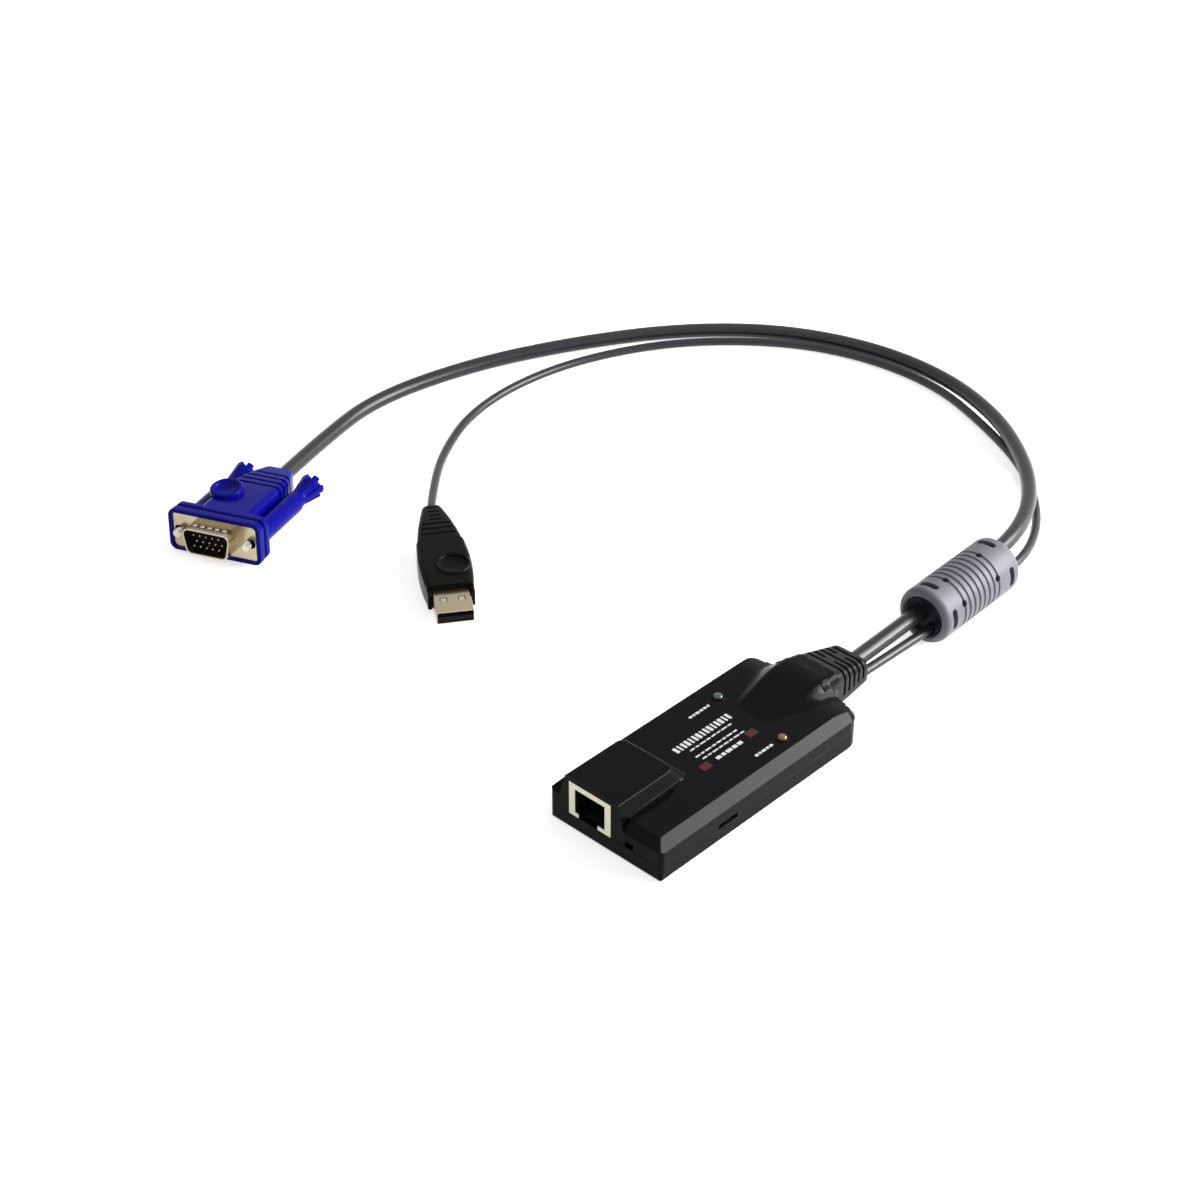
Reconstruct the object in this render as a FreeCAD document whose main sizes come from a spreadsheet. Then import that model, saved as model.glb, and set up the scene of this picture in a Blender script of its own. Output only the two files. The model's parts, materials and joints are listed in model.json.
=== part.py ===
import FreeCAD, Part
import math
import os

import Sketcher

# KVM adapter dongle: a moulded case with an RJ45 socket at its front, and a slotted boot at
# its rear that lets out a thick video lead and a thin USB lead.  Both pass one ferrite and
# lie on the desk in a loop that ends in a 15-pin video plug and a USB plug.
# Frame: millimetres, +Z up, +Y from the RJ45 face to the cable exit, origin under the
# middle of the case on the surface that it stands on.

SIZES = (
    # case halves
    ("case_width", 42.7), ("case_front", -46.0), ("case_rear", 41.2), ("nose_end", 46.0),
    ("parting_z", 5.5), ("ridge_z", 10.1), ("top_z", 13.5), ("bevel_run", 2.6),
    ("wall", 1.8), ("floor_z", 1.6), ("roof_low_z", 9.0), ("roof_high_z", 11.7),
    ("bottom_round", 1.2), ("rear_corner", 5.0),
    ("roll_break_y", 36.1), ("roll_end_y", 44.0), ("roll_end_z", 10.0), ("roll_radius", 32.0),
    ("lip_width", 0.8), ("lip_rise", 1.0), ("tongue_front", -30.0), ("tongue_rear", 30.0),
    ("fit_gap", 0.1),
    ("post_radius", 2.0), ("post_x", 16.0), ("post_front_y", -40.0), ("post_rear_y", 31.0),
    # raised block over the socket
    ("block_base_left", -17.4), ("block_base_right", 7.3), ("block_base_z", 9.8),
    ("block_top_left", -15.0), ("block_top_right", 5.1), ("block_top_z", 18.6),
    ("block_top_end", -23.2), ("block_foot_end", -18.6), ("block_round", 1.0),
    ("block_corner", 2.6),
    # nose and hump
    ("nose_root_y", 38.0), ("nose_root_half", 9.8), ("nose_end_half", 8.8),
    ("nose_root_top", 16.9), ("nose_end_top", 15.9), ("nose_bottom", 2.0), ("nose_round", 3.2),
    ("channel_half", 7.0), ("channel_floor", 3.4), ("channel_roof", 14.2),
    ("channel_start", 30.0), ("nose_wall", 1.4), ("gate_half", 6.2), ("gate_floor", 4.2),
    ("gate_roof", 12.8),
    # lamps and pry notches
    ("lamp_radius", 1.5), ("lamp_flange", 1.9), ("lamp_left_x", -12.1), ("lamp_left_y", 15.3),
    ("lamp_right_x", 14.2), ("lamp_right_y", 13.3), ("lamp_proud", 1.1),
    ("notch_left", 7.9), ("notch_right", 10.9), ("notch_top", 7.6), ("notch_depth", 1.2),
    ("slot_front", -22.0), ("slot_rear", -14.0), ("slot_low", 4.9), ("slot_high", 6.4),
    # circuit board and what stands on it
    ("board_half", 18.4), ("board_front", -43.4), ("board_rear", 36.0), ("board_thick", 1.6),
    ("chip_side", 14.0), ("chip_high", 1.4), ("driver_wide", 6.0), ("driver_long", 9.9),
    ("driver_high", 1.6), ("crystal_long", 11.0), ("crystal_wide", 4.7), ("crystal_high", 3.6),
    ("capacitor_radius", 2.5), ("capacitor_high", 5.4), ("header_high", 5.0),
    # RJ45 socket
    ("jack_centre", -5.6), ("jack_width", 16.0), ("jack_top", 16.9), ("jack_depth", 21.0),
    ("jack_sheet", 0.4), ("port_left", -11.3), ("port_right", 0.1), ("port_low", 6.9),
    ("port_high", 15.1), ("port_depth", 13.0), ("latch_left", -9.9), ("latch_right", -2.6),
    ("contact_pitch", 1.02), ("contact_width", 0.46),
    # boot
    ("boot_end", 62.0), ("boot_root_half", 8.8), ("boot_end_half", 7.0), ("boot_root_top", 15.5),
    ("boot_end_top", 11.6), ("boot_bottom", 2.1), ("boot_round", 3.0), ("rib_first", 48.8),
    ("rib_pitch", 2.6), ("rib_slot", 1.05), ("rib_depth", 1.3), ("rib_floor", 6.3),
    ("web_half", 1.6),
    # ferrite
    ("ferrite_x", 3.2), ("ferrite_y", 93.7), ("ferrite_z", 9.55), ("ferrite_yaw", 2.26),
    ("ferrite_long", 40.6), ("ferrite_radius", 9.5), ("core_radius", 8.3), ("core_bore", 6.4),
    ("ferrite_cap", 3.0), ("ferrite_mouth", 6.6), ("groove_first", 9.8), ("groove_pitch", 2.65),
    ("groove_width", 0.9), ("groove_depth", 0.5), ("cover_bevel", 0.9), ("window_wide", 1.8),
    ("window_near", 3.6), ("window_far", 34.8), ("pip_near", 9.9), ("pip_far", 28.2), ("pip_radius", 0.95),
    # cords
    ("video_radius", 2.6), ("usb_radius", 1.5),
    # video plug, in its own frame: X across, +Y towards its cord, Z up
    ("video_x", -192.4), ("video_y", -27.1), ("video_z", 8.47), ("video_yaw", 21.7),
    ("video_pitch", -4.5), ("video_roll", -1.5),
    ("rim_wide", 33.8), ("rim_high", 15.0), ("rim_front", -0.6), ("rim_back", 2.5),
    ("collar_front", 3.5), ("collar_back", 6.2), ("rim_corner", 2.6),
    ("plate_wide", 30.8), ("plate_high", 12.5), ("plate_thick", 1.0), ("plate_corner", 1.5),
    ("dee_top", 16.9), ("dee_bottom", 13.9), ("dee_high", 8.4), ("dee_round", 2.2),
    ("dee_long", 6.0), ("dee_sheet", 0.5), ("pin_radius", 0.45), ("pin_pitch", 2.29),
    ("pin_row", 1.98), ("pin_tip", -5.0), ("tube_x", 12.5), ("tube_radius", 3.6),
    ("tube_end", 31.0), ("tube_bore", 1.9), ("screw_radius", 1.42), ("screw_hole", 1.5),
    ("screw_tip", -3.2), ("thread_end", -0.3), ("shank_radius", 1.25), ("screw_end", 41.5),
    ("head_start", 31.4), ("head_end", 44.6), ("head_neck", 2.7), ("neck_long", 2.6),
    ("petal_root", 2.9), ("valley_root", 2.1), ("petal_flare", 1.48),
    ("grip_x", -4.0), ("grip_y", 15.8), ("grip_radius", 5.5), ("grip_top", 8.6),
    ("ring_first", 28.0), ("ring_pitch", 3.2), ("ring_slot", 1.1), ("ring_depth", 0.8),
    # USB plug, in its own frame: X across, +Y towards its cord, Z up
    ("plug_x", -107.4), ("plug_y", -0.4), ("plug_z", 4.12), ("plug_yaw", 54.3),
    ("plug_pitch", 4.0), ("shell_wide", 12.0), ("shell_high", 4.5), ("shell_sheet", 0.3),
    ("shell_long", 19.0), ("window_side", 2.2), ("window_x", 2.9), ("window_y", 6.6),
    ("tongue_back", 18.0), ("strip_long", 7.5), ("strip_wide", 1.0), ("strip_rise", 0.15),
    ("mould_front", 11.5), ("mould_end", 57.0), ("ear_front", 8.8), ("ear_outer", 7.6),
    ("thumb_y", 21.5), ("thumb_radius", 5.2), ("thumb_floor", 4.3),
)

# Routes of the two cords as control points on their centre lines, from the boot to the plug.
VIDEO_ROUTE = (
    (1.4, 62.0, 8.6), (1.3, 94.0, 9.7), (-1.3, 141.0, 10.2), (-7.2, 162.5, 9.4),
    (-18.5, 181.5, 8.4), (-35.6, 199.2, 6.9), (-58.6, 216.3, 5.0), (-90.0, 228.4, 3.2),
    (-124.0, 227.7, 2.7), (-157.0, 214.0, 2.7), (-184.5, 188.2, 2.7), (-205.8, 153.3, 2.7),
    (-221.2, 116.5, 2.7), (-228.3, 76.0, 2.7), (-220.5, 44.0, 3.0), (-208.6, 13.5, 5.0),
)
USB_ROUTE = (
    (4.9, 62.0, 5.9), (5.9, 93.0, 5.8), (4.9, 139.5, 6.4), (-1.7, 161.0, 3.9),
    (-15.6, 182.4, 1.6), (-35.0, 199.8, 1.6), (-59.3, 212.2, 1.6), (-88.7, 223.3, 1.6),
    (-121.5, 222.4, 1.6), (-151.0, 210.3, 1.6), (-179.0, 184.0, 1.6), (-195.3, 152.0, 1.6),
    (-200.8, 121.0, 1.6), (-197.3, 92.5, 1.6), (-185.2, 68.5, 1.9), (-169.8, 49.3, 4.9),
    (-154.5, 33.5, 7.9),
)

doc = FreeCAD.newDocument("kvm_dongle")
sheet = doc.addObject("Spreadsheet::Sheet", "Sizes")
for row, (alias, value) in enumerate(SIZES, 1):
    sheet.set(f"A{row}", alias)
    sheet.set(f"B{row}", str(value))
    sheet.setAlias(f"B{row}", alias)
doc.recompute()

PARTS = []


def named(expression):
    """Put the sheet's name before each alias that an expression uses."""
    words = []
    for word in expression.replace("(", "( ").replace(")", " )").split():
        lead = "-" if word.startswith("-") and len(word) > 1 and not word[1].isdigit() else ""
        body = word[len(lead):]
        words.append(lead + (f"Sizes.{body}" if body in ALIASES else body))
    return " ".join(words)


ALIASES = {alias for alias, _ in SIZES}


def size(expression):
    """Read the value of an expression of the sheet's aliases."""
    found = sheet.evalExpression(named(str(expression)))
    return float(getattr(found, "Value", found))


def bind(thing, path, expression):
    """Bind a property to an expression of the sheet's aliases."""
    thing.setExpression(path, named(str(expression)))


def new_body(label, placement=None):
    """Start a PartDesign body that becomes the piece called label."""
    body = doc.addObject("PartDesign::Body", label)
    body.Label = label
    if placement is not None:
        body.Placement = placement
    PARTS.append(body)
    return body


def new_sketch(body, role, name, offset="0"):
    """Attach a sketch to one of the body's origin planes, offset along its normal."""
    plane = [item for item in body.Origin.OriginFeatures if item.Role == role][0]
    sketch = body.newObject("Sketcher::SketchObject", name)
    sketch.AttachmentSupport = [(plane, "")]
    sketch.MapMode = "FlatFace"
    bind(sketch, "AttachmentOffset.Base.z", offset)
    return sketch


def fix_point(sketch, geometry, which, across, up):
    """Dimension a point of the sketch from the sketch's origin."""
    for kind, text in (("DistanceX", across), ("DistanceY", up)):
        index = sketch.addConstraint(
            Sketcher.Constraint(kind, -1, 1, geometry, which, size(text)))
        bind(sketch, f"Constraints[{index}]", text)


def outline(sketch, corners):
    """Draw a closed outline; each corner is (x, y) or (x, y, radius) as expressions."""
    points = [FreeCAD.Vector(size(corner[0]), size(corner[1]), 0) for corner in corners]
    count = len(points)
    ends = []
    for i, corner in enumerate(corners):
        back = (points[i - 1] - points[i]).normalize()
        ahead = (points[(i + 1) % count] - points[i]).normalize()
        radius = size(corner[2]) if len(corner) > 2 else 0.0
        turn = math.pi - back.getAngle(ahead)
        reach = radius * math.tan(turn / 2)
        ends.append((points[i] + back * reach, points[i] + ahead * reach, back, ahead, radius))
    lines = [sketch.addGeometry(Part.LineSegment(ends[i][1], ends[(i + 1) % count][0]), False)
             for i in range(count)]
    for i, corner in enumerate(corners):
        first, second, back, ahead, radius = ends[i]
        before, after = lines[i - 1], lines[i]
        if not radius:
            sketch.addConstraint(Sketcher.Constraint("Coincident", before, 2, after, 1))
            fix_point(sketch, after, 1, corner[0], corner[1])
            continue
        middle = (back + ahead).normalize()
        turn = math.pi - back.getAngle(ahead)
        centre = points[i] + middle * (radius / math.cos(turn / 2))
        waist = centre - middle * radius
        leftward = (points[i] - points[i - 1]).cross(points[(i + 1) % count] - points[i]).z > 0
        if leftward:
            arc = Part.Arc(first, waist, second)
        else:
            arc = Part.Arc(second, waist, first)
        curve = sketch.addGeometry(arc, False)
        start, finish = (1, 2) if leftward else (2, 1)
        sketch.addConstraint(Sketcher.Constraint("Tangent", before, 2, curve, start))
        sketch.addConstraint(Sketcher.Constraint("Tangent", after, 1, curve, finish))
        index = sketch.addConstraint(Sketcher.Constraint("Radius", curve, radius))
        bind(sketch, f"Constraints[{index}]", corner[2])
        tip = sketch.addGeometry(Part.Point(points[i]), True)
        sketch.addConstraint(Sketcher.Constraint("PointOnObject", tip, 1, before))
        sketch.addConstraint(Sketcher.Constraint("PointOnObject", tip, 1, after))
        fix_point(sketch, tip, 1, corner[0], corner[1])


def rectangle(sketch, left, right, low, high, radius=None):
    """Draw a rectangle between expressions, with one corner radius or none."""
    end = (radius,) if radius else ()
    outline(sketch, ((left, low) + end, (right, low) + end, (right, high) + end,
                     (left, high) + end))


def bevelled(sketch, half, low, high, cut):
    """Draw a rectangle, centred across, with its four corners cut off at 45 degrees."""
    outline(sketch, ((f"-1 * ( {half} - {cut} )", low), (f"{half} - {cut}", low),
                     (half, f"{low} + {cut}"), (half, f"{high} - {cut}"),
                     (f"{half} - {cut}", high), (f"-1 * ( {half} - {cut} )", high),
                     (f"-1 * ( {half} )", f"{high} - {cut}"),
                     (f"-1 * ( {half} )", f"{low} + {cut}")))


def circle(sketch, across, up, radius):
    """Draw a dimensioned circle."""
    centre = FreeCAD.Vector(size(across), size(up), 0)
    ring = sketch.addGeometry(Part.Circle(centre, FreeCAD.Vector(0, 0, 1), size(radius)), False)
    fix_point(sketch, ring, 3, across, up)
    index = sketch.addConstraint(Sketcher.Constraint("Radius", ring, size(radius)))
    bind(sketch, f"Constraints[{index}]", radius)


def extrude(body, kind, sketch, name, length, reverse=False, both=False):
    """Pad or pocket a sketch, and check that the solid grew or shrank."""
    doc.recompute()
    before = body.Shape.Volume if body.Tip else 0.0
    feature = body.newObject(f"PartDesign::{kind}", name)
    feature.Profile = sketch
    bind(feature, "Length", length)
    feature.Reversed = reverse
    if both:
        feature.SideType = "Symmetric"
    doc.recompute()
    grown = body.Shape.Volume - before
    if grown * (1 if kind == "Pad" else -1) <= 1e-6:
        raise RuntimeError(f"{body.Label}.{name} changed nothing")
    return feature


def loft(body, sketches, name, ruled=False):
    """Loft through sketches into the body."""
    feature = body.newObject("PartDesign::AdditiveLoft", name)
    feature.Profile = sketches[0]
    feature.Sections = list(sketches[1:])
    feature.Ruled = ruled
    doc.recompute()
    return feature


def revolve(body, kind, sketch, name, axis):
    """Revolve or groove a sketch round one of the sketch's own axes."""
    feature = body.newObject(f"PartDesign::{kind}", name)
    feature.Profile = sketch
    feature.ReferenceAxis = (sketch, [axis])
    feature.Angle = 360
    doc.recompute()
    return feature


def dress(body, kind, name, radius, chosen):
    """Fillet or chamfer the edges of the body's shape that chosen accepts."""
    tip = body.Tip
    edges = [f"Edge{i}" for i, edge in enumerate(tip.Shape.Edges, 1) if chosen(edge)]
    feature = body.newObject(f"PartDesign::{kind}", name)
    feature.Base = (tip, edges)
    bind(feature, "Radius" if kind == "Fillet" else "Size", radius)
    doc.recompute()
    if not edges or "Invalid" in feature.State:
        raise RuntimeError(f"{body.Label}.{name} failed on {len(edges)} edges")
    return feature


def spans(edge, axis):
    """The least and greatest coordinate of an edge along an axis."""
    values = [getattr(point, axis) for point in edge.discretize(5)]
    return min(values), max(values)


def case_outline(sketch, inset="0"):
    """Draw the case's plan, moved inwards by inset, with its rear corners rounded."""
    side = f"case_width / 2 - {inset}"
    outline(sketch, ((f"-1 * ( {side} )", f"case_front + {inset}"),
                     (side, f"case_front + {inset}"),
                     (side, f"case_rear - {inset}", f"rear_corner - {inset}"),
                     (f"-1 * ( {side} )", f"case_rear - {inset}", f"rear_corner - {inset}")))


def nose_section(sketch, half, top, low, rounded_top):
    """Draw one section of the nose above or below the parting plane."""
    if rounded_top:
        outline(sketch, ((f"-1 * {half}", low), (half, low), (half, top, "nose_round"),
                         (f"-1 * {half}", top, "nose_round")))
    else:
        outline(sketch, ((f"-1 * {half}", low, "nose_round - 1"), (half, low, "nose_round - 1"),
                         (half, top), (f"-1 * {half}", top)))


# ---------------------------------------------------------------- upper half of the case
upper = new_body("upper_case")
plan = new_sketch(upper, "XY_Plane", "upper_plan", "parting_z")
case_outline(plan)
extrude(upper, "Pad", plan, "upper_walls", "ridge_z - parting_z")
rim_plan = new_sketch(upper, "XY_Plane", "upper_bevel_plan", "ridge_z")
case_outline(rim_plan)
bevel = extrude(upper, "Pad", rim_plan, "upper_bevel", "top_z - ridge_z")
bind(bevel, "TaperAngle", "-1 * atan( bevel_run / ( top_z - ridge_z ) )")
doc.recompute()

roll = new_sketch(upper, "YZ_Plane", "rear_roll_profile")
outline(roll, (("roll_break_y - 8", "top_z"), ("roll_break_y", "top_z", "roll_radius"),
               ("roll_end_y", "roll_end_z"), ("roll_end_y", "top_z + 2"),
               ("roll_break_y - 8", "top_z + 2")))
extrude(upper, "Pocket", roll, "rear_roll", "case_width + 4", both=True)

# The hump swells out of the flat top towards the nose, with wide concave skirts.
# Each station: y, half width at the top corner, half width at the foot corner, top height,
# foot height, radius of the shoulder, radius of the skirt, half width of the flange.
HUMP = (
    (14.0, 4.2, 4.8, 13.4, 13.15, 0.6, 0.5, 5.6),
    (19.5, 5.4, 7.6, 14.3, 13.5, 2.6, 2.4, 9.4),
    (26.0, 6.4, 9.4, 15.5, 13.5, 3.2, 4.4, 12.2),
    (32.0, 7.2, 10.7, 16.5, 13.35, 3.4, 6.6, 14.2),
    (37.0, 7.6, 11.2, 17.0, 12.4, 3.4, 6.2, 15.0),
    (41.2, 8.0, 11.4, 16.8, 11.15, 3.4, 5.6, 15.2),
)
stations = []
for number, (y, top, foot, high, low, shoulder, skirt, flange) in enumerate(HUMP, 1):
    section = new_sketch(upper, "XZ_Plane", f"hump_section_{number}", f"{-y}")
    outline(section, ((f"{-flange}", "roof_high_z - 1.5"), (f"{flange}", "roof_high_z - 1.5"),
                      (f"{flange}", f"{low}"), (f"{foot}", f"{low}", f"{skirt}"),
                      (f"{top}", f"{high}", f"{shoulder}"), (f"{-top}", f"{high}", f"{shoulder}"),
                      (f"{-foot}", f"{low}", f"{skirt}"), (f"{-flange}", f"{low}")))
    stations.append(section)
doc.recompute()
loft(upper, stations, "hump")

nose = []
for name, y, half, top in (("root", "nose_root_y", "nose_root_half", "nose_root_top"),
                           ("end", "nose_end", "nose_end_half", "nose_end_top")):
    section = new_sketch(upper, "XZ_Plane", f"upper_nose_{name}", f"-1 * {y}")
    nose_section(section, half, top, "parting_z", True)
    nose.append(section)
doc.recompute()
loft(upper, nose, "upper_nose")

block = new_sketch(upper, "XZ_Plane", "block_section", "-1 * case_front")
outline(block, (("block_base_left", "block_base_z"), ("block_base_right", "block_base_z"),
                ("block_top_right", "block_top_z"), ("block_top_left", "block_top_z")))
extrude(upper, "Pad", block, "socket_block", "block_foot_end - case_front", reverse=True)
slope = new_sketch(upper, "YZ_Plane", "block_slope_profile")
outline(slope, (("block_top_end", "block_top_z"), ("block_foot_end", "top_z"),
                ("block_foot_end + 2", "top_z"), ("block_foot_end + 2", "block_top_z + 1"),
                ("block_top_end", "block_top_z + 1")))
extrude(upper, "Pocket", slope, "block_slope", "case_width", both=True)


def block_edges(edge, corner):
    """Accept the block's two rear corners, or the edges round its top and down its rear."""
    front, rear = spans(edge, "y")
    low, high = spans(edge, "z")
    if rear < size("case_front") + 0.1 or rear > size("block_foot_end") + 0.01:
        return False
    steep = high - low > 3 and low > size("top_z") - 0.01
    if corner:
        return steep
    return high > size("block_top_z") - 0.01 and not steep


dress(upper, "Fillet", "block_corners", "block_corner", lambda edge: block_edges(edge, True))
dress(upper, "Fillet", "block_rounding", "block_round", lambda edge: block_edges(edge, False))

cavity = new_sketch(upper, "XY_Plane", "upper_cavity_plan", "parting_z")
case_outline(cavity, "wall")
extrude(upper, "Pocket", cavity, "upper_cavity", "roof_low_z - parting_z", reverse=True)
attic = new_sketch(upper, "XY_Plane", "upper_attic_plan", "roof_low_z - 0.5")
rectangle(attic, "-16.5", "16.5", "-41", "33")
extrude(upper, "Pocket", attic, "upper_attic", "roof_high_z - roof_low_z + 0.5", reverse=True)
bay = new_sketch(upper, "XZ_Plane", "socket_bay_section", "-1 * case_front")
rectangle(bay, "jack_centre - jack_width / 2 - fit_gap", "jack_centre + jack_width / 2 + fit_gap",
          "parting_z", "jack_top + fit_gap")
extrude(upper, "Pocket", bay, "socket_bay", "jack_depth + fit_gap")
channel = new_sketch(upper, "XZ_Plane", "upper_channel_section", "-1 * channel_start")
rectangle(channel, "-1 * channel_half", "channel_half", "parting_z", "channel_roof")
extrude(upper, "Pocket", channel, "upper_channel", "nose_end - nose_wall - channel_start")
gate = new_sketch(upper, "XZ_Plane", "upper_gate_section", "-1 * ( nose_end - nose_wall - 1 )")
rectangle(gate, "-1 * gate_half", "gate_half", "parting_z", "gate_roof")
extrude(upper, "Pocket", gate, "upper_gate", "nose_wall + 2")

lamps = new_sketch(upper, "XY_Plane", "lamp_holes_plan", "top_z")
circle(lamps, "lamp_left_x", "lamp_left_y", "lamp_radius + fit_gap")
circle(lamps, "lamp_right_x", "lamp_right_y", "lamp_radius + fit_gap")
extrude(upper, "Pocket", lamps, "lamp_holes", "top_z - roof_high_z + 0.5")
notch = new_sketch(upper, "XZ_Plane", "front_notch_section", "-1 * case_front")
rectangle(notch, "notch_left", "notch_right", "parting_z", "notch_top")
extrude(upper, "Pocket", notch, "front_notch", "notch_depth")
pry = new_sketch(upper, "YZ_Plane", "upper_pry_profile", "case_width / 2 - 1")
rectangle(pry, "slot_front", "slot_rear", "parting_z", "slot_high")
extrude(upper, "Pocket", pry, "upper_pry", "2", reverse=True)

# ---------------------------------------------------------------- lower half of the case
lower = new_body("lower_case")
tray = new_sketch(lower, "XY_Plane", "tray_plan")
case_outline(tray)
extrude(lower, "Pad", tray, "tray", "parting_z")
dress(lower, "Fillet", "tray_rounding", "bottom_round",
      lambda edge: spans(edge, "z")[1] < 0.01)
nose = []
for name, y, half in (("root", "nose_root_y", "nose_root_half"),
                      ("end", "nose_end", "nose_end_half")):
    section = new_sketch(lower, "XZ_Plane", f"lower_nose_{name}", f"-1 * {y}")
    nose_section(section, half, "parting_z", "nose_bottom", False)
    nose.append(section)
doc.recompute()
loft(lower, nose, "lower_nose")
tray_cavity = new_sketch(lower, "XY_Plane", "tray_cavity_plan", "floor_z")
case_outline(tray_cavity, "wall")
extrude(lower, "Pocket", tray_cavity, "tray_cavity", "parting_z - floor_z", reverse=True)
channel = new_sketch(lower, "XZ_Plane", "lower_channel_section", "-1 * channel_start")
rectangle(channel, "-1 * channel_half", "channel_half", "channel_floor", "parting_z + 1")
extrude(lower, "Pocket", channel, "lower_channel", "nose_end - nose_wall - channel_start")
gate = new_sketch(lower, "XZ_Plane", "lower_gate_section", "-1 * ( nose_end - nose_wall - 1 )")
rectangle(gate, "-1 * gate_half", "gate_half", "gate_floor", "parting_z + 1")
extrude(lower, "Pocket", gate, "lower_gate", "nose_wall + 2")
posts = new_sketch(lower, "XY_Plane", "post_plan", "floor_z - 0.2")
for side in ("-1 * post_x", "post_x"):
    for y in ("post_front_y", "post_rear_y"):
        circle(posts, side, y, "post_radius")
extrude(lower, "Pad", posts, "board_posts", "parting_z - board_thick - floor_z + 0.2")
# A tongue on each long side stands up inside the upper half and keeps the halves in line.
for name, start, length, outer in (
        ("root", "parting_z - lip_rise", "lip_rise", "case_width / 2 - wall + fit_gap"),
        ("tip", "parting_z", "lip_rise", "case_width / 2 - wall - fit_gap")):
    tongues = new_sketch(lower, "XY_Plane", f"tongue_{name}_plan", start)
    inner = "case_width / 2 - wall - fit_gap - lip_width"
    rectangle(tongues, inner, outer, "tongue_front", "tongue_rear")
    rectangle(tongues, f"-1 * ( {outer} )", f"-1 * ( {inner} )", "tongue_front", "tongue_rear")
    extrude(lower, "Pad", tongues, f"tongue_{name}", length)
pry = new_sketch(lower, "YZ_Plane", "lower_pry_profile", "case_width / 2 - 1")
rectangle(pry, "slot_front", "slot_rear", "slot_low", "parting_z + 0.5")
extrude(lower, "Pocket", pry, "lower_pry", "2", reverse=True)

# ---------------------------------------------------------------- RJ45 socket
shield = new_body("rj45_shield")
can = new_sketch(shield, "XZ_Plane", "shield_section", "-1 * case_front")
rectangle(can, "jack_centre - jack_width / 2", "jack_centre + jack_width / 2", "parting_z",
          "jack_top")
extrude(shield, "Pad", can, "shield_can", "jack_depth", reverse=True)
inside = new_sketch(shield, "XY_Plane", "shield_inside_plan", "parting_z")
rectangle(inside, "jack_centre - jack_width / 2 + jack_sheet",
          "jack_centre + jack_width / 2 - jack_sheet", "case_front + jack_sheet",
          "case_front + jack_depth - jack_sheet")
extrude(shield, "Pocket", inside, "shield_inside", "jack_top - jack_sheet - parting_z",
        reverse=True)


def port_outline(sketch):
    """Draw the plug opening with the latch channel below it."""
    outline(sketch, (("latch_left", "parting_z"), ("latch_right", "parting_z"),
                     ("latch_right", "port_low"), ("port_right", "port_low"),
                     ("port_right", "port_high"), ("port_left", "port_high"),
                     ("port_left", "port_low"), ("latch_left", "port_low")))


port = new_sketch(shield, "XZ_Plane", "shield_port_section", "-1 * case_front + 0.5")
port_outline(port)
extrude(shield, "Pocket", port, "shield_port", "jack_sheet + 1")

housing = new_body("rj45_housing")
block = new_sketch(housing, "XZ_Plane", "housing_section", "-1 * ( case_front + jack_sheet )")
rectangle(block, "jack_centre - jack_width / 2 + jack_sheet",
          "jack_centre + jack_width / 2 - jack_sheet", "parting_z", "jack_top - jack_sheet")
extrude(housing, "Pad", block, "housing_block", "jack_depth - 2 * jack_sheet", reverse=True)
port = new_sketch(housing, "XZ_Plane", "housing_port_section",
                  "-1 * ( case_front + jack_sheet )")
port_outline(port)
extrude(housing, "Pocket", port, "housing_port", "port_depth")

# Eight sprung wires come down from the roof of the opening towards its rear wall.
contacts = []
for number in range(8):
    wire = doc.addObject("Part::Box", f"contact_{number + 1}")
    bind(wire, "Length", "contact_width")
    wire.Width = 8.6
    wire.Height = 0.4
    wire.Placement = FreeCAD.Placement(
        FreeCAD.Vector(size("jack_centre") + (number - 3.5) * size("contact_pitch")
                       - size("contact_width") / 2, size("case_front") + 4.2,
                       size("port_high") - 0.45),
        FreeCAD.Rotation(FreeCAD.Vector(1, 0, 0), -19))
    contacts.append(wire)
springs = doc.addObject("Part::Compound", "rj45_contacts")
springs.Links = contacts
PARTS.append(springs)

# ---------------------------------------------------------------- circuit board and its parts
board = new_body("circuit_board")
plate = new_sketch(board, "XY_Plane", "board_plan", "parting_z - board_thick")
rectangle(plate, "-1 * board_half", "board_half", "board_front", "board_rear", "2")
extrude(board, "Pad", plate, "board_plate", "board_thick")


def chip(label, across, along, wide, deep, high, bevel_size=0.3):
    """Make a moulded chip that stands on the board, with bevelled upper edges."""
    body = new_body(label)
    plan_sketch = new_sketch(body, "XY_Plane", f"{label}_plan", "parting_z")
    rectangle(plan_sketch, f"{across} - {wide} / 2", f"{across} + {wide} / 2",
              f"{along} - {deep} / 2", f"{along} + {deep} / 2")
    extrude(body, "Pad", plan_sketch, f"{label}_block", high)
    top = size("parting_z") + size(high) - 0.01
    dress(body, "Chamfer", f"{label}_bevel", f"{bevel_size}", lambda edge: spans(edge, "z")[0] > top)
    return body


chip("main_controller", "3", "-8", "chip_side", "chip_side", "chip_high")
chip("video_driver", "-11", "-10", "driver_wide", "driver_long", "driver_high")
chip("usb_driver", "10", "24", "driver_wide", "driver_long", "driver_high")
can = new_body("crystal")
plan = new_sketch(can, "XY_Plane", "crystal_plan", "parting_z")
rectangle(plan, "4.5", "4.5 + crystal_long", "-30", "-30 + crystal_wide",
          "crystal_wide / 2 - 0.05")
extrude(can, "Pad", plan, "crystal_can", "crystal_high")
cans = new_body("filter_capacitor")
plan = new_sketch(cans, "XY_Plane", "capacitor_plan", "parting_z")
circle(plan, "14", "-14", "capacitor_radius")
extrude(cans, "Pad", plan, "capacitor_can", "capacitor_high")
chip("video_header", "-4", "26", "11", "4.6", "header_high", 0.5)
chip("usb_header", "5", "16", "7.5", "4.6", "header_high", 0.5)

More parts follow.
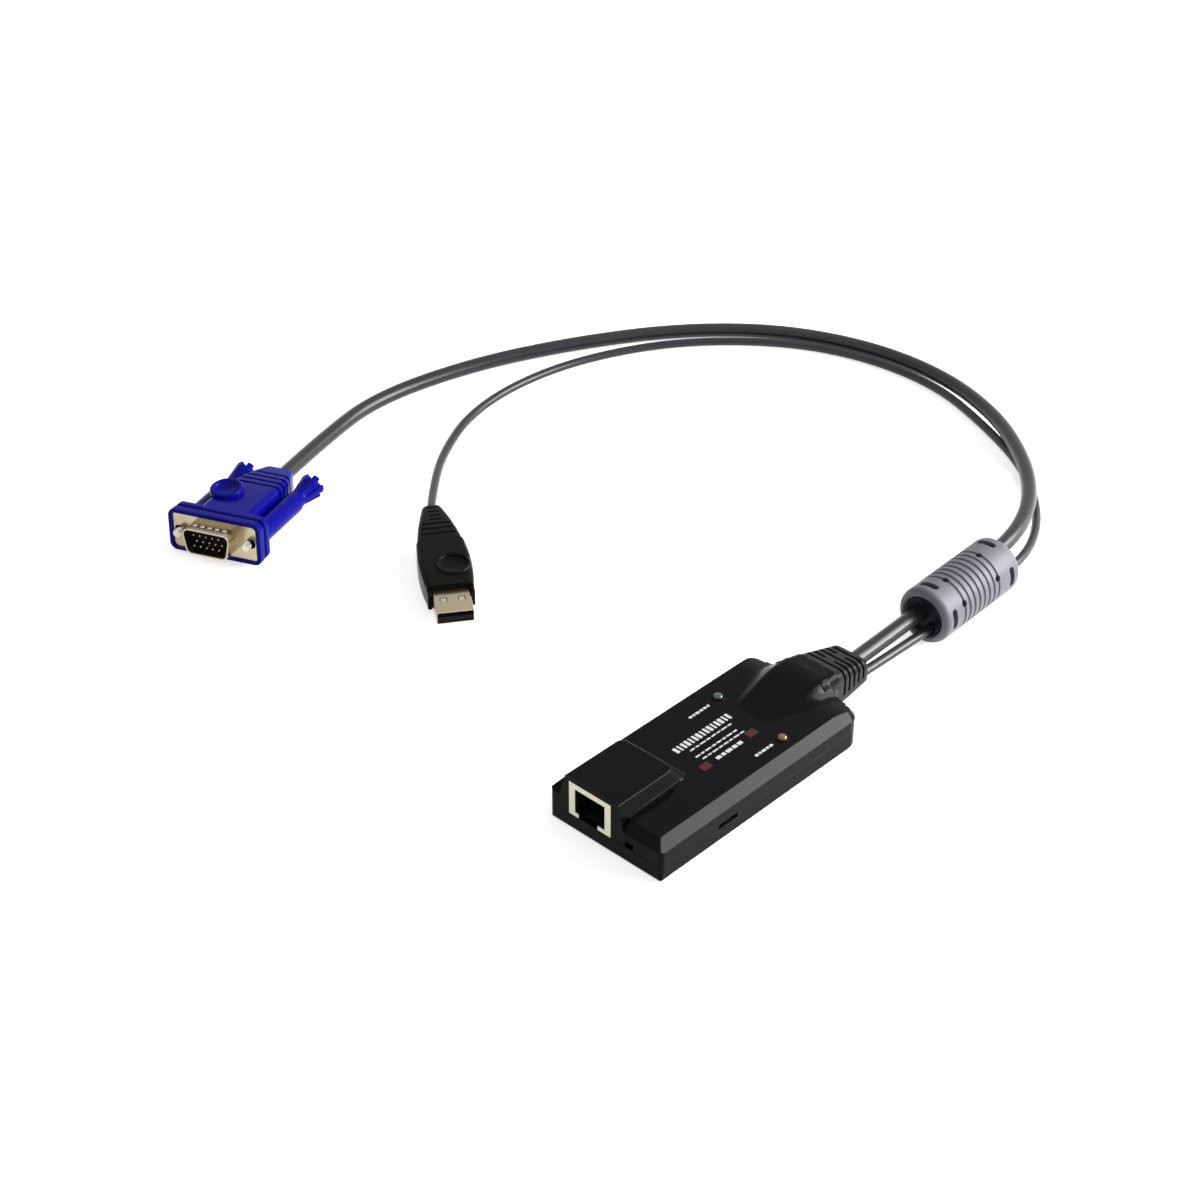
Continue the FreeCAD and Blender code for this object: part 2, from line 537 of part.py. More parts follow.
for label, x, y in (("online_lamp", "lamp_left_x", "lamp_left_y"),
                    ("power_lamp", "lamp_right_x", "lamp_right_y")):
    lamp = new_body(label)
    foot = new_sketch(lamp, "XY_Plane", f"{label}_foot_plan", "parting_z")
    circle(foot, x, y, "lamp_flange")
    extrude(lamp, "Pad", foot, f"{label}_foot", "1")
    stem = new_sketch(lamp, "XY_Plane", f"{label}_stem_plan", "parting_z")
    circle(stem, x, y, "lamp_radius")
    extrude(lamp, "Pad", stem, f"{label}_stem", "top_z + lamp_proud - parting_z")
    tip_z = size("top_z + lamp_proud") - 0.01
    dress(lamp, "Chamfer", f"{label}_crown", "lamp_radius / 2",
          lambda edge: spans(edge, "z")[0] > tip_z)

# ---------------------------------------------------------------- strain relief boot
boot = new_body("strain_relief_boot")


def boot_sections(tag, inset, half=None):
    """Draw the boot's two end sections, moved inwards by inset or cut to a half width."""
    sections = []
    for end, y, wide, top in (("root", "nose_end", "boot_root_half", "boot_root_top"),
                              ("end", "boot_end", "boot_end_half", "boot_end_top")):
        section = new_sketch(boot, "XZ_Plane", f"boot_{tag}_{end}", f"-1 * {y}")
        side = half or f"( {wide} - {inset} )"
        corner = "0.4" if half else f"boot_round - {inset}"
        rectangle(section, f"-1 * {side}", side, f"boot_bottom + {inset}", f"{top} - {inset}",
                  corner)
        sections.append(section)
    doc.recompute()
    return sections


def boot_slots(tag, numbers):
    """Cut transverse slots, counted from the case, down to the boot's unslotted floor."""
    slots = new_sketch(boot, "YZ_Plane", f"boot_{tag}_profile")
    for number in numbers:
        rectangle(slots, f"rib_first + {number} * rib_pitch",
                  f"rib_first + {number} * rib_pitch + rib_slot", "rib_floor", "nose_root_top")
    extrude(boot, "Pocket", slots, f"boot_{tag}", "case_width", both=True)


# Short slots leave a web along the top; long slots cut it as well.
loft(boot, boot_sections("skin", "0"), "boot_skin")
boot_slots("short_slots", (1, 3))
loft(boot, boot_sections("web", "0", "web_half"), "boot_web")
boot_slots("long_slots", (0, 2, 4))
loft(boot, boot_sections("core", "rib_depth"), "boot_core")
neck = new_sketch(boot, "XZ_Plane", "boot_neck_section", "-1 * nose_end - 0.5")
rectangle(neck, "-1 * ( gate_half - fit_gap )", "gate_half - fit_gap", "gate_floor + fit_gap",
          "gate_roof - fit_gap", "0.8")
extrude(boot, "Pad", neck, "boot_neck", "nose_wall + 1.1")
collar = new_sketch(boot, "XZ_Plane", "boot_collar_section",
                    "-1 * ( nose_end - nose_wall - fit_gap )")
rectangle(collar, "-1 * ( channel_half - fit_gap )", "channel_half - fit_gap",
          "channel_floor + fit_gap", "channel_roof - fit_gap", "0.8")
extrude(boot, "Pad", collar, "boot_collar", "2")

# ---------------------------------------------------------------- ferrite on the cords
ferrite_place = FreeCAD.Placement(
    FreeCAD.Vector(size("ferrite_x"), size("ferrite_y"), size("ferrite_z")),
    FreeCAD.Rotation(FreeCAD.Vector(0, 0, 1), size("ferrite_yaw")))
sleeve = new_body("ferrite_cover_blank", ferrite_place)
PARTS.remove(sleeve)
profile = new_sketch(sleeve, "XY_Plane", "cover_profile")
grooves = []
for number in range(8):
    middle = f"groove_first + {number} * groove_pitch"
    grooves += [("ferrite_radius", f"{middle} - groove_width / 2"),
                ("ferrite_radius - groove_depth", middle),
                ("ferrite_radius", f"{middle} + groove_width / 2")]
outline(profile, [("core_bore + 0.2", "ferrite_cap - 1.6"), ("core_bore + 1.2", "0"),
                  ("ferrite_radius - cover_bevel", "0"), ("ferrite_radius", "cover_bevel")]
        + grooves
        + [("ferrite_radius", "ferrite_long - cover_bevel"),
           ("ferrite_radius - cover_bevel", "ferrite_long"), ("core_bore + 1.2", "ferrite_long"),
           ("core_bore + 0.2", "ferrite_long - ferrite_cap + 1.6"),
           ("core_bore + 0.2", "ferrite_long - ferrite_cap"),
           ("core_radius + 0.05", "ferrite_long - ferrite_cap"),
           ("core_radius + 0.05", "ferrite_cap"), ("core_bore + 0.2", "ferrite_cap")])
doc.recompute()
revolve(sleeve, "Revolution", profile, "cover_turning", "V_Axis")

cutters = []
for end, start, pip in (("near", "window_near", "pip_near"), ("far", "window_far", "pip_far")):
    for number, angle in enumerate((53 - 46, 53 + 46, 233 - 46, 233 + 46), 1):
        rings = []
        for name, radius in (("outer", "ferrite_radius + 1"), ("inner", "core_radius + 0.03")):
            ring = doc.addObject("Part::Cylinder", f"{end}_window_{number}_{name}")
            bind(ring, "Radius", radius)
            bind(ring, "Height", "window_wide")
            ring.Angle = 40 if name == "outer" else 360
            ring.Placement = ferrite_place.multiply(FreeCAD.Placement(
                FreeCAD.Vector(0, size(start) + size("window_wide"), 0),
                FreeCAD.Rotation(FreeCAD.Vector(1, 0, 0), 90))).multiply(
                FreeCAD.Placement(FreeCAD.Vector(), FreeCAD.Rotation(
                    FreeCAD.Vector(0, 0, 1), angle - 20)))
            rings.append(ring)
        window = doc.addObject("Part::Cut", f"{end}_window_{number}")
        window.Base, window.Tool = rings
        cutters.append(window)
    for number, angle in enumerate((55 - 30, 55 + 30, 235 - 30, 235 + 30), 1):
        pin = doc.addObject("Part::Cylinder", f"{end}_pip_{number}")
        bind(pin, "Radius", "pip_radius")
        bind(pin, "Height", "ferrite_radius - core_radius + 1")
        out = FreeCAD.Vector(math.cos(math.radians(angle)), 0, math.sin(math.radians(angle)))
        spot = out * size("core_radius + 0.02")
        spot.y = size(pip)
        pin.Placement = ferrite_place.multiply(
            FreeCAD.Placement(spot, FreeCAD.Rotation(FreeCAD.Vector(0, 0, 1), out)))
        cutters.append(pin)
holes = doc.addObject("Part::MultiFuse", "ferrite_openings")
holes.Shapes = cutters
cover = doc.addObject("Part::Cut", "ferrite_cover")
cover.Base, cover.Tool = sleeve, holes
PARTS.append(cover)

core = new_body("ferrite_core", ferrite_place)
ring = new_sketch(core, "XZ_Plane", "core_section", "-1 * ferrite_cap - 0.05")
circle(ring, "0", "0", "core_radius")
circle(ring, "0", "0", "core_bore")
extrude(core, "Pad", ring, "core_ring", "ferrite_long - 2 * ferrite_cap - 0.1", reverse=True)


# ---------------------------------------------------------------- cords
def cord(label, route, radius):
    """Carry a round section along straight runs joined by the largest tangent arcs."""
    points = [FreeCAD.Vector(*point) for point in route]
    start, length, radii = points[0], 0.0, []
    ring = Part.Circle(start, points[1] - start, radius).toShape()
    faces = [Part.Face(Part.Wire(ring))]
    for before, corner, after in zip(points, points[1:], points[2:]):
        back, ahead = before - corner, after - corner
        reach = 0.45 * min(back.Length, ahead.Length)
        turn = math.pi - back.getAngle(ahead)
        bend = reach / math.tan(turn / 2)
        back.normalize()
        ahead.normalize()
        run = corner + back * reach - start
        centre = corner + (back + ahead).normalize() * (bend / math.cos(turn / 2))
        axis = ahead.cross(back).normalize()
        faces.append(ring.extrude(run))
        ring = ring.translated(run)
        faces.append(ring.revolve(centre, axis, math.degrees(turn)))
        ring.rotate(centre, axis, math.degrees(turn))
        start = corner + ahead * reach
        length += run.Length + bend * turn
        radii.append(round(bend, 1))
    run = points[-1] - start
    faces.append(ring.extrude(run))
    faces.append(Part.Face(Part.Wire(ring.translated(run))))
    shell = Part.makeShell(faces)
    shell.sewShape()
    tube = Part.makeSolid(shell)
    if tube.Volume < 0:
        tube.reverse()
    length += run.Length
    ideal = math.pi * radius ** 2 * length
    print(f"{label}: length {length:.1f}, least radius {min(radii)}, radii {radii}, "
          f"volume {tube.Volume:.0f} of {ideal:.0f}")
    if abs(tube.Volume / ideal - 1) > 0.01:
        raise RuntimeError(f"{label} has the wrong volume")
    piece = doc.addObject("Part::Feature", label)
    piece.Shape = tube
    PARTS.append(piece)


cord("video_cable", VIDEO_ROUTE, size("video_radius"))
cord("usb_cable", USB_ROUTE, size("usb_radius"))

# ---------------------------------------------------------------- 15-pin video plug
video_place = FreeCAD.Placement(
    FreeCAD.Vector(size("video_x"), size("video_y"), size("video_z")),
    FreeCAD.Rotation(FreeCAD.Vector(0, 0, 1), size("video_yaw"))
    .multiply(FreeCAD.Rotation(FreeCAD.Vector(1, 0, 0), size("video_pitch")))
    .multiply(FreeCAD.Rotation(FreeCAD.Vector(0, 1, 0), size("video_roll"))))


def dee(sketch, inset):
    """Draw the D outline, wide side up, moved inwards by inset."""
    corner = f"dee_round - {inset}"
    top, low = f"dee_top / 2 - {inset}", f"dee_bottom / 2 - {inset}"
    outline(sketch, ((f"-1 * ( {low} )", f"-1 * ( dee_high / 2 - {inset} )", corner),
                     (low, f"-1 * ( dee_high / 2 - {inset} )", corner),
                     (top, f"dee_high / 2 - {inset}", corner),
                     (f"-1 * ( {top} )", f"dee_high / 2 - {inset}", corner)))


hood = new_body("vga_hood", video_place)
for name, front, back, trim in (("rim", "rim_front", "rim_back", "0"),
                                ("waist", "rim_back - 0.5", "collar_front + 0.5", "0.9"),
                                ("collar", "collar_front", "collar_back", "0.15")):
    flange = new_sketch(hood, "XZ_Plane", f"hood_{name}_section", f"-1 * ( {front} )")
    rectangle(flange, f"-1 * ( rim_wide / 2 - {trim} )", f"rim_wide / 2 - {trim}",
              f"-1 * ( rim_high / 2 - {trim} )", f"rim_high / 2 - {trim}",
              f"rim_corner - {trim}")
    extrude(hood, "Pad", flange, f"hood_{name}", f"{back} - ( {front} )", reverse=True)
# Stations of the grip: y, half width, half height and corner cut.
HOOD = ((5.0, 9.4, 6.3, 1.1), (18.0, 9.3, 6.2, 1.3), (26.0, 9.1, 6.0, 1.6), (34.0, 8.3, 5.5, 2.2),
        (40.0, 6.9, 4.9, 2.4), (44.6, 5.2, 4.3, 2.2))


def hood_sections(tag, inset, from_y):
    """Draw the hood's sections, moved inwards by inset, from a station on."""
    sections = []
    for number, (y, half, high, cut) in enumerate(HOOD):
        if y < from_y:
            continue
        section = new_sketch(hood, "XZ_Plane", f"hood_{tag}_{number}", f"{-y}")
        bevelled(section, f"( {half} - {inset} )", f"-1 * ( {high} - {inset} )",
                 f"( {high} - {inset} )", f"{cut}")
        sections.append(section)
    doc.recompute()
    return sections


loft(hood, hood_sections("skin", "0", 0), "hood_skin")
slots = new_sketch(hood, "YZ_Plane", "hood_ring_profile")
for number in range(4):
    rectangle(slots, f"ring_first + {number} * ring_pitch",
              f"ring_first + {number} * ring_pitch + ring_slot", "-8", "8")
extrude(hood, "Pocket", slots, "hood_rings", "22", both=True)
loft(hood, hood_sections("core", "ring_depth", 26.0), "hood_core")
grip = new_sketch(hood, "XY_Plane", "hood_grip_plan", "5")
circle(grip, "grip_x", "grip_y", "grip_radius")
extrude(hood, "Pad", grip, "hood_grip", "grip_top - 5")
top = size("grip_top") - 0.01
dress(hood, "Chamfer", "hood_grip_edge", "0.5", lambda edge: spans(edge, "z")[0] > top)
dish = new_sketch(hood, "XY_Plane", "hood_dish_plan", "grip_top")
circle(dish, "grip_x", "grip_y", "grip_radius - 1.4")
extrude(hood, "Pocket", dish, "hood_dish", "1.3")
arms = new_sketch(hood, "XZ_Plane", "hood_tube_section", "-1 * ( collar_back - 0.5 )")
for side in ("-1 * tube_x", "tube_x"):
    circle(arms, side, "0", "tube_radius")
extrude(hood, "Pad", arms, "hood_tubes", "tube_end - collar_back + 0.5", reverse=True)
bores = new_sketch(hood, "XZ_Plane", "hood_bore_section", "-1 * rim_front + 0.5")
for side in ("-1 * tube_x", "tube_x"):
    circle(bores, side, "0", "tube_bore")
extrude(hood, "Pocket", bores, "hood_bores", "tube_end + 2")
seat = new_sketch(hood, "XZ_Plane", "hood_seat_section", "-1 * rim_front + 0.5")
rectangle(seat, "-1 * plate_wide / 2 - 0.05", "plate_wide / 2 + 0.05",
          "-1 * plate_high / 2 - 0.05", "plate_high / 2 + 0.05", "plate_corner")
extrude(hood, "Pocket", seat, "hood_seat", "plate_thick - rim_front + 0.5")
nest = new_sketch(hood, "XZ_Plane", "hood_nest_section", "0")
rectangle(nest, "-1 * dee_top / 2 - 0.05", "dee_top / 2 + 0.05", "-1 * dee_high / 2 - 0.05",
          "dee_high / 2 + 0.05")
extrude(hood, "Pocket", nest, "hood_nest", "12")

shell = new_body("vga_shell", video_place)
plate = new_sketch(shell, "XZ_Plane", "plate_section", "0")
rectangle(plate, "-1 * plate_wide / 2", "plate_wide / 2", "-1 * plate_high / 2",
          "plate_high / 2", "plate_corner")
extrude(shell, "Pad", plate, "mounting_plate", "plate_thick", reverse=True)
skirt = new_sketch(shell, "XZ_Plane", "dee_section", "0")
dee(skirt, "0")
extrude(shell, "Pad", skirt, "dee_skirt", "dee_long")
hollow = new_sketch(shell, "XZ_Plane", "dee_inside_section", "dee_long")
dee(hollow, "dee_sheet")
extrude(shell, "Pocket", hollow, "dee_inside", "dee_long + plate_thick + 1")
holes = new_sketch(shell, "XZ_Plane", "screw_hole_section", "1")
for side in ("-1 * tube_x", "tube_x"):
    circle(holes, side, "0", "screw_hole")
extrude(shell, "Pocket", holes, "screw_holes", "plate_thick + 2")

carrier = new_body("vga_insulator", video_place)
face = new_sketch(carrier, "XZ_Plane", "carrier_section", "0.8")
dee(face, "( dee_sheet + 0.02 )")
extrude(carrier, "Pad", face, "carrier_face", "plate_thick + 0.9", reverse=True)
back = new_sketch(carrier, "XZ_Plane", "carrier_back_section", "-1 * plate_thick - 0.02")
rectangle(back, "-1 * dee_top / 2 + 0.1", "dee_top / 2 - 0.1", "-1 * dee_high / 2 + 0.1",
          "dee_high / 2 - 0.1")
extrude(carrier, "Pad", back, "carrier_back", "6", reverse=True)

# The pins stand on the insulator's face, in three rows of five with the middle row shifted.
PINS = [((column - 2) * 1.0 + (0.25 if level == 1 else -0.25), 1 - level)
        for level in range(3) for column in range(5)]
pins = []
for number, (across, level) in enumerate(PINS, 1):
    pin = doc.addObject("Part::Prism", f"pin_{number}")
    pin.Polygon = 8
    bind(pin, "Circumradius", "pin_radius")
    bind(pin, "Height", "-0.8 - pin_tip")
    spot = FreeCAD.Vector(across * size("pin_pitch"), -0.8, level * size("pin_row"))
    pin.Placement = video_place.multiply(
        FreeCAD.Placement(spot, FreeCAD.Rotation(FreeCAD.Vector(1, 0, 0), 90)))
    pins.append(pin)
rows = doc.addObject("Part::Compound", "vga_pins")
rows.Links = pins
PARTS.append(rows)


def petals(sketch, tip, valley):
    """Draw the grip's six petals between a tip radius and a valley radius."""
    corners = []
    for number in range(6):
        for radius, turn in ((tip, -15), (tip, 15), (valley, 24), (valley, 36)):
            angle = 60 * number + turn
            corners.append((f"{radius} * cos( {angle} )", f"{radius} * sin( {angle} )"))
    outline(sketch, corners)


for hand, side in (("left", "-1 * tube_x"), ("right", "tube_x")):
    place = video_place.multiply(FreeCAD.Placement(
        FreeCAD.Vector(size(side), 0, 0), FreeCAD.Rotation()))
    head = new_body(f"thumbscrew_head_{hand}", place)
    neck = new_sketch(head, "XZ_Plane", f"head_{hand}_neck_section", "-1 * head_start")
    circle(neck, "0", "0", "head_neck")
    extrude(head, "Pad", neck, f"head_{hand}_neck", "neck_long + 0.5", reverse=True)
    flare = []
    for end, y, tip, valley in (
            ("root", "head_start + neck_long", "petal_root", "valley_root"),
            ("end", "head_end", "petal_root * petal_flare", "valley_root * petal_flare")):
        section = new_sketch(head, "XZ_Plane", f"head_{hand}_{end}_section", f"-1 * ( {y} )")
        petals(section, tip, valley)
        flare.append(section)
    doc.recompute()
    loft(head, flare, f"head_{hand}_flare", ruled=True)
    socket = new_sketch(head, "XZ_Plane", f"head_{hand}_bore_section",
                        "-1 * ( head_start - 0.5 )")
    circle(socket, "0", "0", "shank_radius")
    extrude(head, "Pocket", socket, f"head_{hand}_bore", "screw_end - head_start + 0.5")
    # The thread ends in front of the plate; the thinner shank behind it runs to the head.
    shaft = new_body(f"thumbscrew_shaft_{hand}", place)
    thread = new_sketch(shaft, "XZ_Plane", f"shaft_{hand}_thread_section", "-1 * screw_tip")
    circle(thread, "0", "0", "screw_radius")
    extrude(shaft, "Pad", thread, f"shaft_{hand}_thread", "thread_end - screw_tip", reverse=True)
    front = size("screw_tip") + 0.01
    dress(shaft, "Chamfer", f"shaft_{hand}_point", "0.35",
          lambda edge: spans(edge, "y")[1] < front)
    shank = new_sketch(shaft, "XZ_Plane", f"shaft_{hand}_shank_section", "-1 * thread_end")
    circle(shank, "0", "0", "shank_radius")
    extrude(shaft, "Pad", shank, f"shaft_{hand}_shank", "screw_end - thread_end", reverse=True)

# ---------------------------------------------------------------- USB plug
plug_place = FreeCAD.Placement(
    FreeCAD.Vector(size("plug_x"), size("plug_y"), size("plug_z")),
    FreeCAD.Rotation(FreeCAD.Vector(0, 0, 1), size("plug_yaw"))
    .multiply(FreeCAD.Rotation(FreeCAD.Vector(1, 0, 0), size("plug_pitch"))))
mould = new_body("usb_overmould", plug_place)
# Stations of the grip: y, half width, floor, top and corner cut.
MOULD = ((11.5, 7.6, -4.75, 4.3, 1.0), (16.0, 8.2, -4.9, 4.7, 1.3), (24.0, 8.6, -4.95, 4.95, 1.6),
         (31.0, 8.2, -4.9, 4.9, 1.8), (39.0, 7.3, -4.7, 4.7, 2.0), (48.0, 5.6, -4.0, 4.0, 2.0),
         (57.0, 3.4, -2.9, 2.9, 1.6))
grips = []
for number, (y, half, low, high, cut) in enumerate(MOULD):
    section = new_sketch(mould, "XZ_Plane", f"mould_section_{number}", f"{-y}")
    bevelled(section, f"{half}", f"{low}", f"{high}", f"{cut}")
    grips.append(section)
doc.recompute()
loft(mould, grips, "mould_grip")
ears = new_sketch(mould, "XZ_Plane", "mould_ear_section", "-1 * mould_front - 0.5")
for left, right in (("shell_wide / 2 + 0.15", "ear_outer"),
                    ("-1 * ear_outer", "-1 * shell_wide / 2 - 0.15")):
    rectangle(ears, left, right, "-3.4", "2.8")
extrude(mould, "Pad", ears, "mould_ears", "mould_front + 0.5 - ear_front")
nest = new_sketch(mould, "XZ_Plane", "mould_nest_section", "-1 * mould_front + 1")
rectangle(nest, "-1 * shell_wide / 2 - 0.05", "shell_wide / 2 + 0.05",
          "-1 * shell_high / 2 - 0.05", "shell_high / 2 + 0.05", "0.6")
extrude(mould, "Pocket", nest, "mould_nest", "shell_long - mould_front + 1.2")
thumb = new_sketch(mould, "XY_Plane", "mould_thumb_plan", "thumb_floor")
circle(thumb, "0", "thumb_y", "thumb_radius")
extrude(mould, "Pocket", thumb, "mould_thumb", "2", reverse=True)

tin = new_body("usb_shell", plug_place)
box = new_sketch(tin, "XZ_Plane", "tin_section", "0")
rectangle(box, "-1 * shell_wide / 2", "shell_wide / 2", "-1 * shell_high / 2",
          "shell_high / 2", "0.55")
extrude(tin, "Pad", box, "tin_box", "shell_long", reverse=True)
hollow = new_sketch(tin, "XZ_Plane", "tin_inside_section", "1")
rectangle(hollow, "-1 * shell_wide / 2 + shell_sheet", "shell_wide / 2 - shell_sheet",
          "-1 * shell_high / 2 + shell_sheet", "shell_high / 2 - shell_sheet", "0.25")
extrude(tin, "Pocket", hollow, "tin_inside", "shell_long + 2")
ports = new_sketch(tin, "XY_Plane", "tin_window_plan", "0")
for left, right in (("window_x - window_side / 2", "window_x + window_side / 2"),
                    ("-1 * window_x - window_side / 2", "-1 * window_x + window_side / 2")):
    rectangle(ports, left, right, "window_y - window_side / 2", "window_y + window_side / 2")
extrude(tin, "Pocket", ports, "tin_windows", "shell_high + 2", both=True)

tongue = new_body("usb_insulator", plug_place)
slab = new_sketch(tongue, "XZ_Plane", "tongue_section", "-0.5")
rectangle(slab, "-1 * shell_wide / 2 + shell_sheet + 0.02", "shell_wide / 2 - shell_sheet - 0.02",
          "-1 * shell_high / 2 + shell_sheet + 0.02", "0", "0.28")
extrude(tongue, "Pad", slab, "tongue_slab", "tongue_back - 0.5", reverse=True)
stop = new_sketch(tongue, "XZ_Plane", "tongue_stop_section", "-1 * 12")
rectangle(stop, "-1 * shell_wide / 2 + shell_sheet + 0.02", "shell_wide / 2 - shell_sheet - 0.02",
          "-0.8", "shell_high / 2 - shell_sheet - 0.02", "0.28")
extrude(tongue, "Pad", stop, "tongue_stop", "tongue_back - 12", reverse=True)
strips = []
for number, across in enumerate((-3.5, -1.0, 1.0, 3.5), 1):
    strip = doc.addObject("Part::Box", f"strip_{number}")
    bind(strip, "Length", "strip_wide")
    bind(strip, "Width", "strip_long")
    bind(strip, "Height", "strip_rise")
    strip.Placement = plug_place.multiply(FreeCAD.Placement(
        FreeCAD.Vector(across - size("strip_wide") / 2, 1.4, 0), FreeCAD.Rotation()))
    strips.append(strip)
gold = doc.addObject("Part::Compound", "usb_contacts")
gold.Links = strips
PARTS.append(gold)

doc.recompute()
for item in doc.Objects:
    if "Invalid" in item.State or "Error" in item.State:
        raise RuntimeError(f"{item.Name} failed: {item.State}")
for part in PARTS:
    if part.Shape.isNull() or not part.Shape.isValid() or not part.Shape.Solids:
        raise RuntimeError(f"{part.Label} has no valid solid")
    print(f"{part.Label}: {len(part.Shape.Solids)} solids, {part.Shape.Volume:.1f} mm3")

os.makedirs("parts", exist_ok=True)
for part in PARTS:
    part.Shape.exportStep(f"parts/{part.Label}.step")
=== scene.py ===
"""Looks of a KVM adapter dongle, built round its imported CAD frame.

The case, its two cords, the ferrite and both plugs are dressed or rebuilt here, in metres and
in the CAD frame: +Z up, +Y from the RJ45 face to the cable exit.
"""

import json
import logging
import math
from collections.abc import Callable
from dataclasses import dataclass
from enum import Enum

import bpy
from mathutils import Matrix, Vector

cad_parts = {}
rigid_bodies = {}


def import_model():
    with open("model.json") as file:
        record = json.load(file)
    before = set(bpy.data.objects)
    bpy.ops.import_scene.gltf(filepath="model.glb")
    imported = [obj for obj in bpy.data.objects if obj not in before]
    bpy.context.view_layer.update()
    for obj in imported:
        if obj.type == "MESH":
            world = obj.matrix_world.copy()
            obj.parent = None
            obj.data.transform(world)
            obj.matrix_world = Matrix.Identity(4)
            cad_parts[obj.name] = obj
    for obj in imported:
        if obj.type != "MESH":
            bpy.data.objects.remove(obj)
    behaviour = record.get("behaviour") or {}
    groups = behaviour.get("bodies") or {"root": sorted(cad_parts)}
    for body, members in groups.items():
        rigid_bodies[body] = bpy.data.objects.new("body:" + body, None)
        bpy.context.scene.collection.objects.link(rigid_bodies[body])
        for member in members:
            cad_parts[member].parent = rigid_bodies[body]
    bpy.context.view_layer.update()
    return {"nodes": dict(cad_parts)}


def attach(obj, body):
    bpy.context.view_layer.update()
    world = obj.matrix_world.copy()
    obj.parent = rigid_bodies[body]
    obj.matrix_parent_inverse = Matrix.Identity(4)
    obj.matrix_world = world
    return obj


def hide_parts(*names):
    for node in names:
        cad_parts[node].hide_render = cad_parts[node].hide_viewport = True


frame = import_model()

MM = 0.001
LOG = logging.getLogger("kvm_dongle")

Point = tuple[float, float, float]
Ring = tuple[float, float]
Station = tuple[float, float, float, float]


def linear(code: str) -> tuple[float, float, float, float]:
    """Turn an sRGB hex colour into linear red, green, blue and alpha.

    Args:
        code: six hex digits, with or without a leading hash.

    Returns:
        The linear colour, fully opaque.
    """
    digits = code.lstrip("#")
    values = [int(digits[i:i + 2], 16) / 255 for i in (0, 2, 4)]
    return (*[v / 12.92 if v <= 0.04045 else ((v + 0.055) / 1.055) ** 2.4 for v in values], 1.0)


def add_node(tree: bpy.types.NodeTree, kind: str, settings: dict | None = None,
             links: dict | None = None, **inputs: object) -> bpy.types.Node:
    """Add one shader node with its settings, input values and links.

    Args:
        tree: the node tree that gets the node.
        kind: the node's type name.
        settings: attributes set on the node itself.
        links: input name or index to the output socket that feeds it.
        inputs: input values, by name with underscores for spaces.

    Returns:
        The new node.
    """
    node = tree.nodes.new(kind)
    for name, value in (settings or {}).items():
        setattr(node, name, value)
    for name, value in inputs.items():
        node.inputs[name.replace("_", " ")].default_value = value
    for name, socket in (links or {}).items():
        tree.links.new(socket, node.inputs[name])
    return node


class Body(Enum):
    """The bodies of the CAD frame that pieces ride on."""

    DONGLE = "dongle"
    SCREW_LEFT = "thumbscrew_left"
    SCREW_RIGHT = "thumbscrew_right"


class Surface(Enum):
    """How a finish's surface was made, which sets the pattern of its relief."""

    MOULDED = "moulded"
    BRUSHED = "brushed"
    POLISHED = "polished"


@dataclass(frozen=True)
class Finish:
    """A solid finish: its colour, its gloss, and the relief that its making leaves."""

    name: str
    colour: str
    worn: str
    roughness: float
    surface: Surface = Surface.MOULDED
    metallic: float = 0.0
    grain_mm: float = 0.35
    relief_mm: float = 0.01
    specular: float = 0.5
    coat: float = 0.0
    spread: float = 0.08

    def build(self) -> bpy.types.Material:
        """Make the material, or return the one that is already made.

        Returns:
            The Blender material of this finish.
        """
        made = bpy.data.materials.get(self.name)
        if made:
            return made
        material = bpy.data.materials.new(self.name)
        material.use_nodes = True
        tree = material.node_tree
        tree.nodes.clear()
        place = add_node(tree, "ShaderNodeTexCoord")
        stretch = (1.0, 1.0, 1.0) if self.surface is not Surface.BRUSHED else (0.06, 1.0, 1.0)
        mapped = add_node(tree, "ShaderNodeMapping", links={"Vector": place.outputs["Object"]},
                          Scale=stretch)
        fine = add_node(tree, "ShaderNodeTexNoise", links={"Vector": mapped.outputs["Vector"]},
                        Scale=1.0 / (self.grain_mm * MM), Detail=3.0, Roughness=0.6)
        broad = add_node(tree, "ShaderNodeTexNoise", links={"Vector": place.outputs["Object"]},
                         Scale=1.0 / (14 * MM), Detail=2.0)
        tint = add_node(tree, "ShaderNodeMix", {"data_type": "RGBA"},
                        {"Factor": broad.outputs["Fac"]})
        tint.inputs[6].default_value = linear(self.colour)
        tint.inputs[7].default_value = linear(self.worn)
        gloss = add_node(tree, "ShaderNodeMapRange", links={"Value": fine.outputs["Fac"]},
                         To_Min=max(0.02, self.roughness - self.spread),
                         To_Max=min(1.0, self.roughness + self.spread))
        relief = add_node(tree, "ShaderNodeBump", links={"Height": fine.outputs["Fac"]},
                          Strength=0.6, Distance=self.relief_mm * MM)
        shader = add_node(tree, "ShaderNodeBsdfPrincipled",
                          links={"Base Color": tint.outputs[2], "Roughness": gloss.outputs[0],
                                 "Normal": relief.outputs["Normal"]},
                          Metallic=self.metallic)
        shader.inputs["Specular IOR Level"].default_value = self.specular
        shader.inputs["Coat Weight"].default_value = self.coat
        shader.inputs["Coat Roughness"].default_value = 0.12
        add_node(tree, "ShaderNodeOutputMaterial", links={"Surface": shader.outputs["BSDF"]})
        return material


# Injection-moulded ABS with a fine satin texture: near black, with long soft highlights.
CASE_ABS = Finish("satin_black_abs", "09080a", "0c0b0d", 0.19, grain_mm=0.4, relief_mm=0.0015,
                  specular=0.045, spread=0.02)
# Soft PVC of the boot: a dark grey whose webs catch more light than the case.
BOOT_PVC = Finish("boot_moulded_pvc", "161619", "1c1c20", 0.28, grain_mm=0.4, relief_mm=0.003,
                  specular=0.07, spread=0.03)
